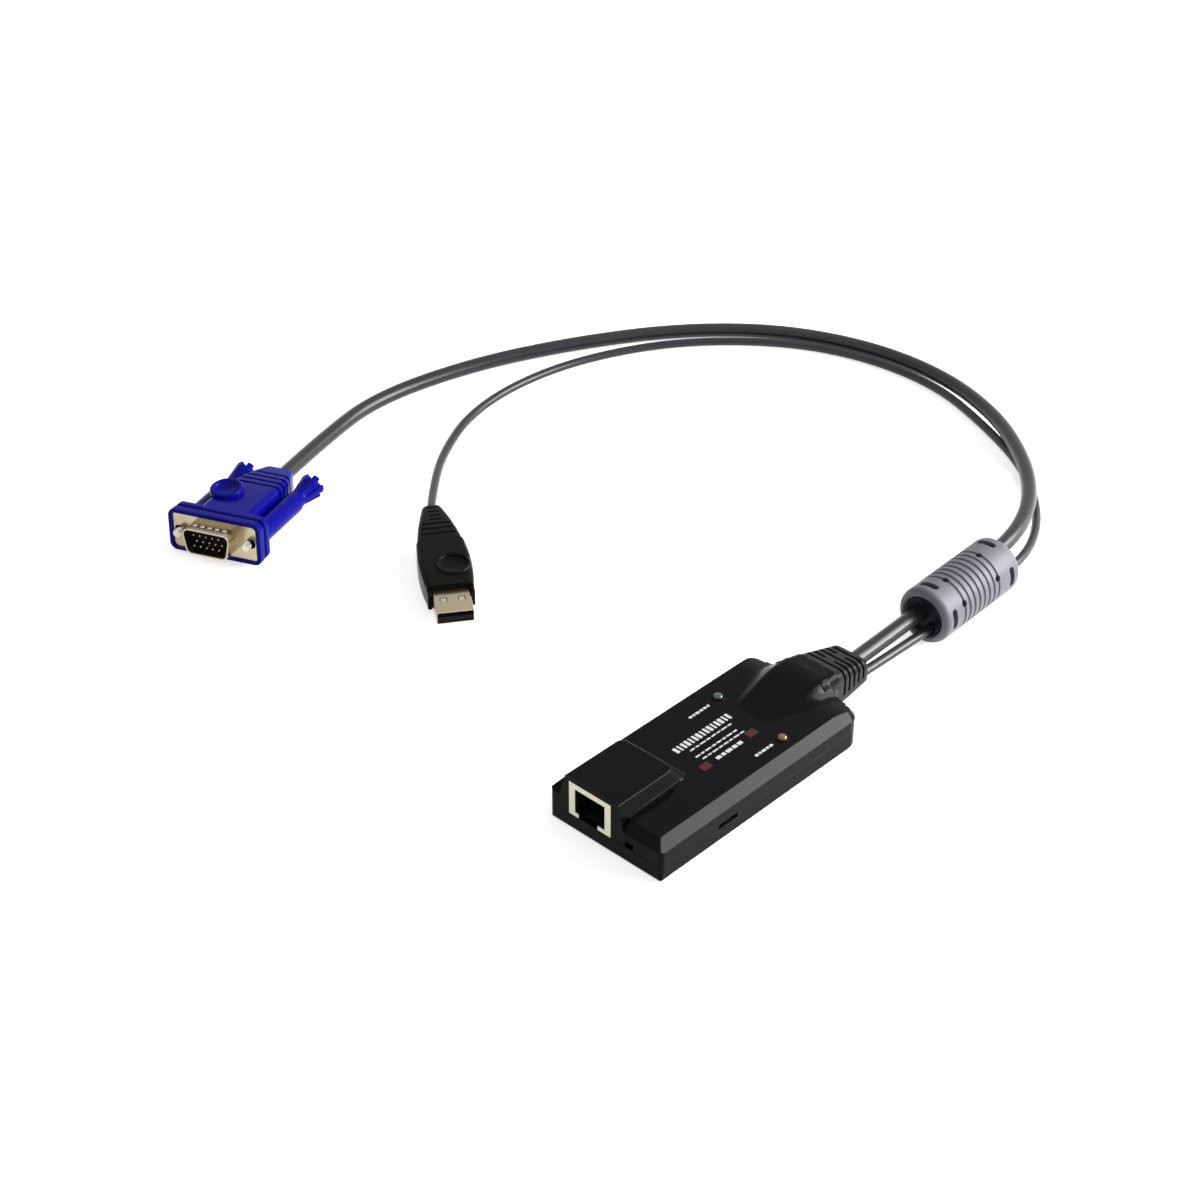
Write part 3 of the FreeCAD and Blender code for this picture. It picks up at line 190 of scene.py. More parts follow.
# Extruded PVC jacket: dark grey, drawn smooth, with a long sheen down its lit side.
CORD_PVC = Finish("cord_jacket_pvc", "1d1d21", "26262a", 0.30, grain_mm=0.5, relief_mm=0.003,
                  specular=0.3, spread=0.04)
# Soft PVC moulded over the ferrite: a lighter, matter grey.
FERRITE_PVC = Finish("ferrite_cover_pvc", "5c5c63", "6a6a71", 0.44, grain_mm=0.4,
                     relief_mm=0.006, specular=0.2)
# Sintered ferrite: charcoal, dry and slightly rough.
FERRITE_CORE = Finish("sintered_ferrite", "121213", "19191a", 0.6, grain_mm=0.2,
                      relief_mm=0.01, specular=0.1)
# PVC moulded in the blue that marks a video plug: deep, with a clean wet edge.
VIDEO_PVC = Finish("video_blue_pvc", "060672", "08087e", 0.21, grain_mm=0.4, relief_mm=0.002,
                   specular=0.05, spread=0.03)
# Black PVC of the USB plug's grip: flat and slightly warm.
USB_PVC = Finish("usb_grip_pvc", "0d0c0b", "131210", 0.26, grain_mm=0.4, relief_mm=0.002,
                 specular=0.045, spread=0.03)
# Nickel-plated steel stampings: warm, a little brushed by the rolling.
PLUG_NICKEL = Finish("nickel_plated_steel", "a0957d", "b3a78e", 0.25, Surface.BRUSHED, 1.0,
                     grain_mm=0.4, relief_mm=0.0006, spread=0.04)
# Tin-plated steel of the socket's can: paler and duller than nickel.
SOCKET_TIN = Finish("tin_plated_steel", "c3c0ab", "cecbb8", 0.42, Surface.BRUSHED, 1.0,
                    grain_mm=0.4, relief_mm=0.0006, spread=0.04)
# Zinc-plated steel of screws and pins: cooler and harder in its shine than the stampings.
SCREW_STEEL = Finish("zinc_plated_steel", "b2aea3", "c2beb4", 0.26, Surface.POLISHED, 1.0,
                     grain_mm=0.3, relief_mm=0.001)
# Flash gold over bronze: a thin warm yellow on the contact springs.
GOLD_PLATE = Finish("gold_plated_bronze", "c99a3e", "d7aa52", 0.24, Surface.POLISHED, 1.0,
                    grain_mm=0.3, relief_mm=0.001)
# Glass-filled nylon of the insulators: black and matt.
NYLON = Finish("black_nylon", "100e10", "151316", 0.5, grain_mm=0.3, relief_mm=0.005,
               specular=0.1)
# Natural nylon of the inner headers: ivory and waxy.
NYLON_WHITE = Finish("natural_nylon", "d8d2bd", "dfd9c6", 0.5)
# Cured solder mask: green with a thin clear gloss.
SOLDER_MASK = Finish("green_solder_mask", "07240f", "0a2c14", 0.3, coat=0.2, specular=0.1)
# Epoxy of the moulded chips: charcoal and dry.
CHIP_EPOXY = Finish("moulded_epoxy", "171718", "1e1e1f", 0.55)
# Drawn aluminium cans: cool and bright.
CAN_METAL = Finish("drawn_aluminium", "c4c6c8", "cfd1d3", 0.3, Surface.POLISHED, 1.0)
# Tinted polystyrene of the unlit lamps: smoky, with a small bright point on the dome.
LENS_GREEN = Finish("smoked_green_lens", "24322d", "2c3b36", 0.12, Surface.POLISHED,
                    relief_mm=0.0005, specular=0.6, coat=0.5)
LENS_AMBER = Finish("smoked_amber_lens", "563f10", "664c16", 0.12, Surface.POLISHED,
                    relief_mm=0.0005, specular=0.6, coat=0.5)
# Pad-printed inks on the top: a slightly greyed white, and a dull dark red.
WHITE_INK = Finish("white_pad_ink", "c2bfc2", "cdcacd", 0.5, relief_mm=0.002, specular=0.2)
RED_INK = Finish("dull_red_pad_ink", "3a0d0d", "4a1212", 0.5, relief_mm=0.002, specular=0.2)


NODE_FINISHES: dict[str, Finish] = {
    "upper_case": CASE_ABS, "lower_case": CASE_ABS, "rj45_shield": SOCKET_TIN,
    "rj45_housing": NYLON, "rj45_contacts": GOLD_PLATE, "circuit_board": SOLDER_MASK,
    "main_controller": CHIP_EPOXY, "video_driver": CHIP_EPOXY, "usb_driver": CHIP_EPOXY,
    "crystal": CAN_METAL, "filter_capacitor": CAN_METAL, "video_header": NYLON_WHITE,
    "usb_header": NYLON_WHITE, "online_lamp": LENS_GREEN, "power_lamp": LENS_AMBER,
    "strain_relief_boot": BOOT_PVC, "ferrite_cover": FERRITE_PVC, "ferrite_core": FERRITE_CORE,
    "video_cable": CORD_PVC, "usb_cable": CORD_PVC, "vga_hood": VIDEO_PVC,
    "vga_shell": PLUG_NICKEL, "vga_insulator": NYLON, "vga_pins": SCREW_STEEL,
    "thumbscrew_head_left": VIDEO_PVC, "thumbscrew_head_right": VIDEO_PVC,
    "thumbscrew_shaft_left": SCREW_STEEL, "thumbscrew_shaft_right": SCREW_STEEL,
    "usb_overmould": USB_PVC, "usb_shell": PLUG_NICKEL, "usb_insulator": NYLON,
    "usb_contacts": GOLD_PLATE,
}


def dress(piece: bpy.types.Object, finish: Finish) -> None:
    """Give a piece one finish all over."""
    piece.data.materials.clear()
    piece.data.materials.append(finish.build())


def deselect() -> None:
    """Leave nothing selected, so that an operator acts on new work alone."""
    for item in bpy.context.selected_objects:
        item.select_set(False)


def activate(piece: bpy.types.Object) -> None:
    """Select one piece and make it the active one."""
    deselect()
    piece.select_set(True)
    bpy.context.view_layer.objects.active = piece


def edit(piece: bpy.types.Object) -> None:
    """Open a piece's mesh with all of it selected."""
    activate(piece)
    bpy.ops.object.mode_set(mode="EDIT")
    bpy.ops.mesh.select_all(action="SELECT")


def close() -> None:
    """Leave edit mode."""
    bpy.ops.object.mode_set(mode="OBJECT")


def grow(rings: list[tuple[float, float, float, float]]) -> None:
    """Extrude what is selected along +Z, from ring to ring.

    Args:
        rings: height, half width along X, half width along Y, and middle along Y, all in mm.
    """
    for (z, wide, deep, mid), (z1, wide1, deep1, mid1) in zip(rings, rings[1:]):
        bpy.ops.mesh.extrude_region_move(
            TRANSFORM_OT_translate={"value": (0.0, (mid1 - mid) * MM, (z1 - z) * MM)})
        bpy.ops.transform.resize(value=(wide1 / wide, deep1 / deep, 1.0),
                                 center_override=(0.0, mid1 * MM, z1 * MM))


def turned(name: str, profile: list[Ring], sides: int = 48,
           hollow: bool = False) -> bpy.types.Object:
    """Raise a round form along +Z through rings.

    Args:
        name: the new piece's name.
        profile: radius and height of each ring in mm.
        sides: vertices round each ring.
        hollow: the profile is a closed loop round an open middle.

    Returns:
        The new piece.
    """
    rings = [(z, r, r, 0.0) for r, z in profile + (profile[:1] if hollow else [])]
    deselect()
    bpy.ops.mesh.primitive_circle_add(
        vertices=sides, radius=profile[0][0] * MM, location=(0, 0, profile[0][1] * MM),
        fill_type="NOTHING" if hollow else "NGON")
    piece = bpy.context.active_object
    piece.name = piece.data.name = name
    edit(piece)
    grow(rings)
    bpy.ops.mesh.select_all(action="SELECT")
    bpy.ops.mesh.remove_doubles(threshold=2e-6)
    bpy.ops.mesh.normals_make_consistent(inside=False)
    close()
    bpy.ops.object.transform_apply(location=True, rotation=True, scale=True)
    return piece


def block(name: str, stations: list[Station], corner_mm: float = 0.0,
          segments: int = 4) -> bpy.types.Object:
    """Raise a four-sided form along +Z through stations and round its long corners.

    Args:
        name: the new piece's name.
        stations: height, half width along X, low side and high side along Y, in mm.
        corner_mm: radius of the four long corners.
        segments: faces round each corner.

    Returns:
        The new piece.
    """
    rings = [(z, wide, (high - low) / 2, (high + low) / 2) for z, wide, low, high in stations]
    z, wide, deep, mid = rings[0]
    deselect()
    bpy.ops.mesh.primitive_plane_add(size=2 * MM, location=(0, mid * MM, z * MM))
    piece = bpy.context.active_object
    piece.name = piece.data.name = name
    edit(piece)
    bpy.ops.transform.resize(value=(wide, deep, 1.0), center_override=(0, mid * MM, z * MM))
    grow(rings)
    bpy.ops.mesh.select_all(action="SELECT")
    bpy.ops.mesh.normals_make_consistent(inside=False)
    close()
    bpy.ops.object.transform_apply(location=True, rotation=True, scale=True)
    if corner_mm:
        bevel_edges(piece, corner_mm, segments,
                    lambda middle, along: abs(along.z) > 1e-6)
    return piece


def bevel_edges(piece: bpy.types.Object, width_mm: float, segments: int,
                chosen: Callable[[Vector, Vector], bool], clamp: bool = True) -> None:
    """Round the edges of a piece that chosen accepts.

    Args:
        piece: the piece to round.
        width_mm: width of the rounding.
        segments: faces across it.
        chosen: takes an edge's middle and its vector, both in mm.
        clamp: narrow the rounding where faces would meet.
    """
    edit(piece)
    bpy.ops.mesh.select_mode(type="EDGE")
    bpy.ops.mesh.select_all(action="DESELECT")
    close()
    points = piece.data.vertices
    for edge in piece.data.edges:
        first, second = (points[i].co / MM for i in edge.vertices)
        edge.select = chosen((first + second) / 2, second - first)
    bpy.ops.object.mode_set(mode="EDIT")
    bpy.ops.mesh.bevel(offset=width_mm * MM, segments=segments, affect="EDGES",
                       clamp_overlap=clamp)
    bpy.ops.mesh.select_mode(type="VERT")
    close()


def soften(piece: bpy.types.Object, width_mm: float, angle: float = 35.0,
           segments: int = 2) -> None:
    """Round all the sharp edges of a piece, and merge the points where two roundings meet.

    Args:
        piece: the piece to round.
        width_mm: width of the rounding.
        angle: edges sharper than this many degrees are rounded.
        segments: faces across the rounding.
    """
    activate(piece)
    rounding = piece.modifiers.new("rounding", "BEVEL")
    rounding.width, rounding.segments = width_mm * MM, segments
    rounding.limit_method, rounding.angle_limit = "ANGLE", math.radians(angle)
    rounding.use_clamp_overlap = True
    bpy.ops.object.modifier_apply(modifier=rounding.name)
    edit(piece)
    bpy.ops.mesh.remove_doubles(threshold=1e-6)
    close()


def place(piece: bpy.types.Object, matrix: Matrix) -> bpy.types.Object:
    """Move a piece by a matrix and leave the move in its mesh."""
    activate(piece)
    piece.matrix_world = matrix @ piece.matrix_world
    bpy.context.view_layer.update()
    bpy.ops.object.transform_apply(location=True, rotation=True, scale=True)
    return piece


def twin(piece: bpy.types.Object, name: str, matrix: Matrix) -> bpy.types.Object:
    """Copy a piece, with a mesh of its own, to where matrix takes it."""
    activate(piece)
    bpy.ops.object.duplicate(linked=False)
    copy = bpy.context.active_object
    copy.name = copy.data.name = name
    return place(copy, matrix)


def join(pieces: list[bpy.types.Object]) -> bpy.types.Object:
    """Join pieces into the first one."""
    deselect()
    for piece in pieces:
        piece.select_set(True)
    bpy.context.view_layer.objects.active = pieces[0]
    bpy.ops.object.join()
    return pieces[0]


def discard(*patterns: bpy.types.Object) -> None:
    """Remove cutters and patterns that have done their work."""
    for pattern in patterns:
        bpy.data.objects.remove(pattern, do_unlink=True)


def cut(piece: bpy.types.Object, cutters: list[bpy.types.Object]) -> None:
    """Take the cutters' shapes away from a piece and remove the cutters."""
    cutter = join(cutters)
    activate(piece)
    taken = piece.modifiers.new("opening", "BOOLEAN")
    taken.operation, taken.solver, taken.object = "DIFFERENCE", "EXACT", cutter
    taken.use_self = len(cutters) > 1
    bpy.ops.object.modifier_apply(modifier=taken.name)
    discard(cutter)


def copied(node: str, name: str) -> bpy.types.Object:
    """Copy a CAD node's mesh, merged and with its flat faces joined.

    Args:
        node: the CAD node's name.
        name: the new piece's name.

    Returns:
        The copy, ready to be rounded.
    """
    piece = bpy.data.objects.new(name, frame["nodes"][node].data.copy())
    piece.data.name = name
    bpy.context.scene.collection.objects.link(piece)
    edit(piece)
    bpy.ops.mesh.customdata_custom_splitnormals_clear()
    bpy.ops.mesh.remove_doubles(threshold=1e-6)
    bpy.ops.mesh.dissolve_limited(angle_limit=math.radians(0.3))
    close()
    return piece


def finish_off(piece: bpy.types.Object, finish: Finish, body: Body = Body.DONGLE,
               nodes: tuple[str, ...] = (), smooth: float = 38.0) -> bpy.types.Object:
    """Shade and dress a piece, and tie it to the CAD frame.

    Args:
        piece: the piece, in its place.
        finish: what it is made of.
        body: the body that it rides on.
        nodes: the CAD nodes that it stands for.
        smooth: edges flatter than this many degrees are shaded smooth.

    Returns:
        The piece.
    """
    activate(piece)
    bpy.ops.object.shade_smooth_by_angle(angle=math.radians(smooth))
    shading = piece.modifiers.new("shading", "WEIGHTED_NORMAL")
    shading.mode, shading.weight, shading.keep_sharp = "FACE_AREA", 80, True
    bpy.ops.object.modifier_apply(modifier=shading.name)
    dress(piece, finish)
    if nodes:
        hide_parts(*nodes)
    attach(piece, body.value)
    LOG.info("piece %s on %s", piece.name, body.value)
    return piece


def eased(table: tuple[tuple[float, ...], ...], at: float) -> tuple[float, ...]:
    """Read a table of stations at a place, along a smooth curve through them.

    Args:
        table: rows whose first value is the place along the form.
        at: the place to read.

    Returns:
        The other values of a row at that place.
    """
    last = len(table) - 2
    row = max(i for i in range(last + 1) if table[i][0] <= at or i == 0)
    before, first, second, after = (table[max(0, min(last + 1, row + k))]
                                    for k in (-1, 0, 1, 2))
    span = second[0] - first[0]
    step = min(max((at - first[0]) / span, 0.0), 1.0)
    found = []
    for p, a, b, q in zip(before[1:], first[1:], second[1:], after[1:]):
        rise = (b - p) / max(second[0] - before[0], 1e-6) * span
        fall = (q - a) / max(after[0] - first[0], 1e-6) * span
        s2, s3 = step * step, step ** 3
        found.append(a * (2 * s3 - 3 * s2 + 1) + rise * (s3 - 2 * s2 + step)
                     + b * (3 * s2 - 2 * s3) + fall * (s3 - s2))
    return tuple(found)


@dataclass(frozen=True)
class Seat:
    """Where a sub-assembly sits: its own origin and turns, X across, +Y along, Z up."""

    origin_mm: Point = (0.0, 0.0, 0.0)
    yaw: float = 0.0
    pitch: float = 0.0
    roll: float = 0.0

    def at(self, x: float = 0.0, y: float = 0.0, z: float = 0.0) -> Matrix:
        """Matrix that takes a form raised along +Z to a local point, still upright."""
        return (Matrix.Translation(Vector(self.origin_mm) * MM)
                @ Matrix.Rotation(math.radians(self.yaw), 4, "Z")
                @ Matrix.Rotation(math.radians(self.pitch), 4, "X")
                @ Matrix.Rotation(math.radians(self.roll), 4, "Y")
                @ Matrix.Translation(Vector((x, y, z)) * MM))

    def along(self, x: float = 0.0, y: float = 0.0, z: float = 0.0) -> Matrix:
        """Matrix that lays a form raised along +Z down along the seat's +Y."""
        return self.at(x, y, z) @ Matrix.Rotation(math.radians(-90), 4, "X")


VIDEO_SEAT = Seat((-192.4, -27.1, 8.47), 21.7, -4.5, -1.5)
USB_SEAT = Seat((-107.4, -0.4, 4.12), 54.3, 4.0)
FERRITE_SEAT = Seat((3.2, 93.7, 9.55), 2.26)
CASE_SEAT = Seat()


@dataclass
class Case:
    """Both halves of the case, its lamps and what is printed on its top."""

    top_z: float = 13.5
    parting_z: float = 5.5
    seam: float = 0.36
    # Outer walls that the seam runs in: least distance across, then front and rear places.
    seam_walls: Point = (20.8, -45.5, 42.0)
    foot: float = 0.9
    # Field that holds the foot of the socket block: from and to, across and then along.
    foot_field: tuple[float, float, float, float] = (-18.0, 8.5, -45.9, -18.0)
    # Fairing behind the hump: half width and place along the case of each ring, then its
    # middle height and how flat it is.
    cheeks: tuple[Ring, ...] = ((11.6, 40.8), (11.2, 42.0), (10.3, 43.5), (9.3, 44.9),
                                (8.75, 45.9))
    cheek_z: float = 9.5
    cheek_flatness: float = 0.62
    corner: float = 1.7
    front: tuple[float, float] = (21.35, -46.0)
    lamps: tuple[tuple[str, float, float], ...] = (
        ("online_lamp", -12.1, 15.3), ("power_lamp", 14.2, 13.3))
    lens_radius: float = 1.45
    ring_radius: float = 2.15
    # Bars that stand for the printed lines: x, middle y, height and length, all in mm.
    heading: tuple[float, float, float, float] = (-3.9, -0.9, 2.6, 24.0)
    strokes: int = 15
    lines: tuple[tuple[float, float, float, float], ...] = (
        (-0.9, -0.4, 0.55, 18.0), (2.2, -0.8, 0.6, 19.5), (4.1, -0.9, 0.55, 17.5),
        (6.9, -1.4, 1.3, 11.0))
    captions: tuple[tuple[float, float, float, float], ...] = (
        (-11.4, 6.3, 0.9, 9.0), (14.1, 5.6, 0.9, 8.0))
    patches: tuple[tuple[float, float, float, float], ...] = (
        (6.9, -11.6, 2.8, 3.6), (6.2, 9.0, 2.8, 3.6))

    def corners(self) -> list[bpy.types.Object]:
        """Make the two hollow-sided cutters that blunt the front corners.

        Returns:
            The cutters, in place.
        """
        across, front = self.front
        made = []
        for sign in (-1, 1):
            spot = Vector((sign * (across - self.corner), front + self.corner, 0)) * MM
            cutter = block("corner", [(-2, 4, -4, 0), (22, 4, -4, 0)])
            place(cutter, Matrix.Translation(spot + Vector((sign * 4, 0, 0)) * MM))
            core = turned("core", [(self.corner, -3), (self.corner, 23)], 40)
            cut(cutter, [place(core, Matrix.Translation(spot))])
            made.append(cutter)
        return made

    def halves(self) -> None:
        """Blunt the front corners of both halves, open their seam, fillet the block's foot."""
        side, front, rear = self.seam_walls
        left, right, near, far = self.foot_field
        for node in ("upper_case", "lower_case"):
            shell = copied(node, f"{node}_shell")
            cut(shell, self.corners())
            bevel_edges(shell, self.seam, 2, lambda middle, along: (
                abs(middle.z - self.parting_z) < 0.05 and along.length > 1.0
                and (abs(middle.x) > side or middle.y < front or middle.y > rear)), False)
            if node == "upper_case":
                bevel_edges(shell, self.foot, 4, lambda middle, along: (
                    abs(middle.z - self.top_z) < 0.05 and abs(along.z) < 0.01
                    and near < middle.y < far and left < middle.x < right))
            finish_off(shell, CASE_ABS, nodes=(node,), smooth=30.0)

    def fairing(self) -> None:
        """Carry the hump's flanks round its end and into the nose."""
        cheeks = turned("hump_fairing", list(self.cheeks), 64)
        place(cheeks, CASE_SEAT.along(z=self.cheek_z)
              @ Matrix.Diagonal((1.0, self.cheek_flatness, 1.0, 1.0)))
        finish_off(cheeks, CASE_ABS, smooth=60.0)

    def lamp(self, node: str, x: float, y: float, finish: Finish, slot: str) -> None:
        """Make one lamp: a domed lens in a raised ring.

        Args:
            node: the CAD lamp that the lens stands for.
            x: place across the case.
            y: place along the case.
            finish: the lens's finish.
            slot: not used.
        """
        r, z = self.lens_radius, self.top_z
        lens = turned(f"{node}_lens", [(r, z - 1.5), (r, z + 0.3), (r * 0.93, z + 0.6),
                                       (r * 0.74, z + 0.85), (r * 0.42, z + 1.02),
                                       (0.05, z + 1.08)], 32)
        place(lens, CASE_SEAT.at(x, y))
        finish_off(lens, finish, nodes=(node,), smooth=60.0)
        outer = self.ring_radius
        ring = turned(f"{node}_ring", [
            (outer, z - 0.05), (outer, z + 0.12), (outer - 0.15, z + 0.26),
            (r + 0.25, z + 0.26), (r + 0.08, z + 0.1), (r + 0.08, z - 0.05)], 40, hollow=True)
        place(ring, CASE_SEAT.at(x, y))
        finish_off(ring, CASE_ABS, smooth=50.0)

    def bar(self, name: str, spot: tuple[float, float, float, float], finish: Finish) -> None:
        """Print one bare bar on the top: a film of ink with rounded corners."""
        x, y, high, long = spot
        z = self.top_z
        bar = block(name, [(z - 0.01, high / 2, -long / 2, long / 2),
                           (z + 0.02, high / 2, -long / 2, long / 2)],
                    min(high, long) * 0.16, 3)
        place(bar, CASE_SEAT.at(x, y))
        finish_off(bar, finish)

    def dashes(self, name: str, spot: tuple[float, float, float, float], pitch: float,
               finish: Finish) -> None:
        """Break a printed line into dashes of uneven length."""
        x, y, high, long = spot
        start, number = y - long / 2, 0
        while start < y + long / 2 - pitch * 0.6:
            run = pitch * (0.86, 0.62, 1.05, 0.74)[number % 4]
            self.bar(f"{name}_{number}", (x, start + run / 2, high, run), finish)
            start += run + pitch * 0.22
            number += 1

    def build(self) -> None:
        """Build the case's pieces."""
        self.halves()
        self.fairing()
        for (node, x, y), finish, slot in zip(self.lamps, (LENS_GREEN, LENS_AMBER),
                                              ("online_lens", "power_lens")):
            self.lamp(node, x, y, finish, slot)
        x, y, high, long = self.heading
        pitch = long / self.strokes
        for number in range(self.strokes):
            wide = pitch * (0.72, 0.45, 0.6)[number % 3]
            self.bar(f"heading_bar_{number}", (x, y - long / 2 + pitch * (number + 0.5),
                                               high, wide), WHITE_INK)
        for number, spot in enumerate(self.lines, 1):
            self.dashes(f"line_{number}_bar", spot, 2.2, WHITE_INK)
        for number, spot in enumerate(self.captions, 1):
            self.dashes(f"caption_{number}_bar", spot, 1.5, WHITE_INK)
        for number, spot in enumerate(self.patches, 1):
            self.bar(f"red_patch_{number}", spot, RED_INK)


@dataclass
class Boot:
    """The slotted strain relief between the nose and the cords."""

    edge: float = 0.25

    def build(self) -> None:
        """Round the edges of the slots and the end."""
        boot = copied("strain_relief_boot", "slotted_boot")
        soften(boot, self.edge, 40.0, 2)
        finish_off(boot, BOOT_PVC, nodes=("strain_relief_boot",), smooth=35.0)


@dataclass
class Ferrite:
    """The grey cover over the ferrite core, with its grooves, windows and round openings."""

    length: float = 40.6
    radius: float = 9.5
    mouth: float = 6.6
    pocket: float = 8.35
    cap: float = 3.0
    end_round: float = 2.2
    grooves: int = 8
    first_groove: float = 9.8
    pitch: float = 2.65
    groove_half: float = 0.55
    groove_depth: float = 0.55
    windows: tuple[tuple[float, float], ...] = ((4.5, 53.0), (35.7, 53.0), (4.5, 233.0),
                                                (35.7, 233.0))
    openings: tuple[tuple[float, float], ...] = ((9.9, 55.0), (28.2, 55.0), (9.9, 235.0),
                                                 (28.2, 235.0))
    # Degrees from the middle of each pair to one of it, and the middle of the cover's wall.
    window_spread: float = 46.0
    opening_spread: float = 30.0
    wall_radius: float = 9.3
    window_half: tuple[float, float] = (3.4, 1.1)
    opening_radius: float = 1.15
    collar_depth: float = 0.8
    # Steps of a collar: radius and how much deeper than its rim.
    collar_steps: tuple[Ring, ...] = ((6.55, 0.0), (5.75, 0.0), (5.6, 0.5), (4.9, 0.5),
                                      (4.75, 0.8), (0.1, 0.8))
    # Holes of the collars for both cords: radius, and place across and up.
    near_holes: tuple[Point, ...] = ((2.8, -2.1, 0.1), (1.75, 2.56, -3.69))
    far_holes: tuple[Point, ...] = ((2.8, -2.52, 0.58), (1.75, 3.3, -3.29))

    def profile(self) -> list[Ring]:
        """Draw the cover's section, from the near mouth over the outside and back.

        Returns:
            Radius and height of each ring.
        """
        quarter = [(math.sin(t), 1 - math.cos(t))
                   for t in (math.radians(15 * k) for k in range(7))]
        base = self.radius - self.end_round
        near = [(base + self.end_round * s, self.end_round * c) for s, c in quarter]
        rings = [(self.mouth, self.cap), (self.mouth, 1.5), (self.mouth + 0.3, 1.0)] + near
        for number in range(self.grooves):
            middle = self.first_groove + number * self.pitch
            half, deep = self.groove_half, self.radius - self.groove_depth
            rings += [(self.radius, middle - half), (deep + 0.08, middle - half * 0.45),
                      (deep + 0.08, middle + half * 0.45), (self.radius, middle + half)]
        rings += [(r, self.length - z) for r, z in reversed(near)]
        rings += [(self.mouth + 0.3, self.length - 1.0), (self.mouth, self.length - 1.5),
                  (self.mouth, self.length - self.cap), (self.pocket, self.length - self.cap),
                  (self.pocket, self.cap)]
        return rings

    def cutters(self) -> list[bpy.types.Object]:
        """Make the shapes of the eight windows and eight round openings.

        Returns:
            The cutters, in the cover's own upright place.
        """
        long, wide = self.window_half
        made = []
        for spots, spread, window in ((self.windows, self.window_spread, True),
                                      (self.openings, self.opening_spread, False)):
            for where, middle in spots:
                for angle in (middle - spread, middle + spread):
                    turn = (Matrix.Rotation(math.radians(-angle), 4, "Z")
                            @ Matrix.Translation(Vector((self.wall_radius, 0, where)) * MM)
                            @ Matrix.Rotation(math.radians(90), 4, "Y"))
                    if window:
                        cutter = block("window", [(-1.2, long, -wide, wide),
                                                  (1.6, long, -wide, wide)], 1.0, 4)
                        turn = turn @ Matrix.Rotation(math.radians(90), 4, "Z")
                    else:
                        cutter = turned("opening", [(self.opening_radius, -1.2),
                                                    (self.opening_radius, 1.6)], 20)
                    made.append(place(cutter, turn))
        return made

    def collar(self, name: str, far: bool, holes: tuple[Point, ...]) -> None:
        """Set the stepped collar that closes one mouth down to the cords.

        Args:
            name: the piece's name.
            far: it is the mouth that faces the plugs.
            holes: radius and place, across and up, of the hole for each cord.
        """
        ring = turned(name, [(self.collar_steps[0][0], self.cap - 0.1)]
                      + [(r, self.collar_depth + deeper) for r, deeper in self.collar_steps],
                      72)
        if far:
            place(ring, Matrix.Translation((0, 0, self.length * MM))
                  @ Matrix.Rotation(math.radians(180), 4, "X"))
        middle = self.length - 2 if far else 2
        cut(ring, [place(turned("hole", [(r, -2.5), (r, 2.5)], 40),
                         Matrix.Translation(Vector((x, -z, middle)) * MM))
                   for r, x, z in holes])
        place(ring, FERRITE_SEAT.along())
        finish_off(ring, BOOT_PVC, smooth=32.0)

    def build(self) -> None:
        """Build the cover round the core, which stays the CAD one."""
        cover = turned("ferrite_sleeve", self.profile(), 96, hollow=True)
        cut(cover, self.cutters())
        place(cover, FERRITE_SEAT.along())
        finish_off(cover, FERRITE_PVC, nodes=("ferrite_cover",), smooth=32.0)
        self.collar("near_collar", False, self.near_holes)
        self.collar("far_collar", True, self.far_holes)


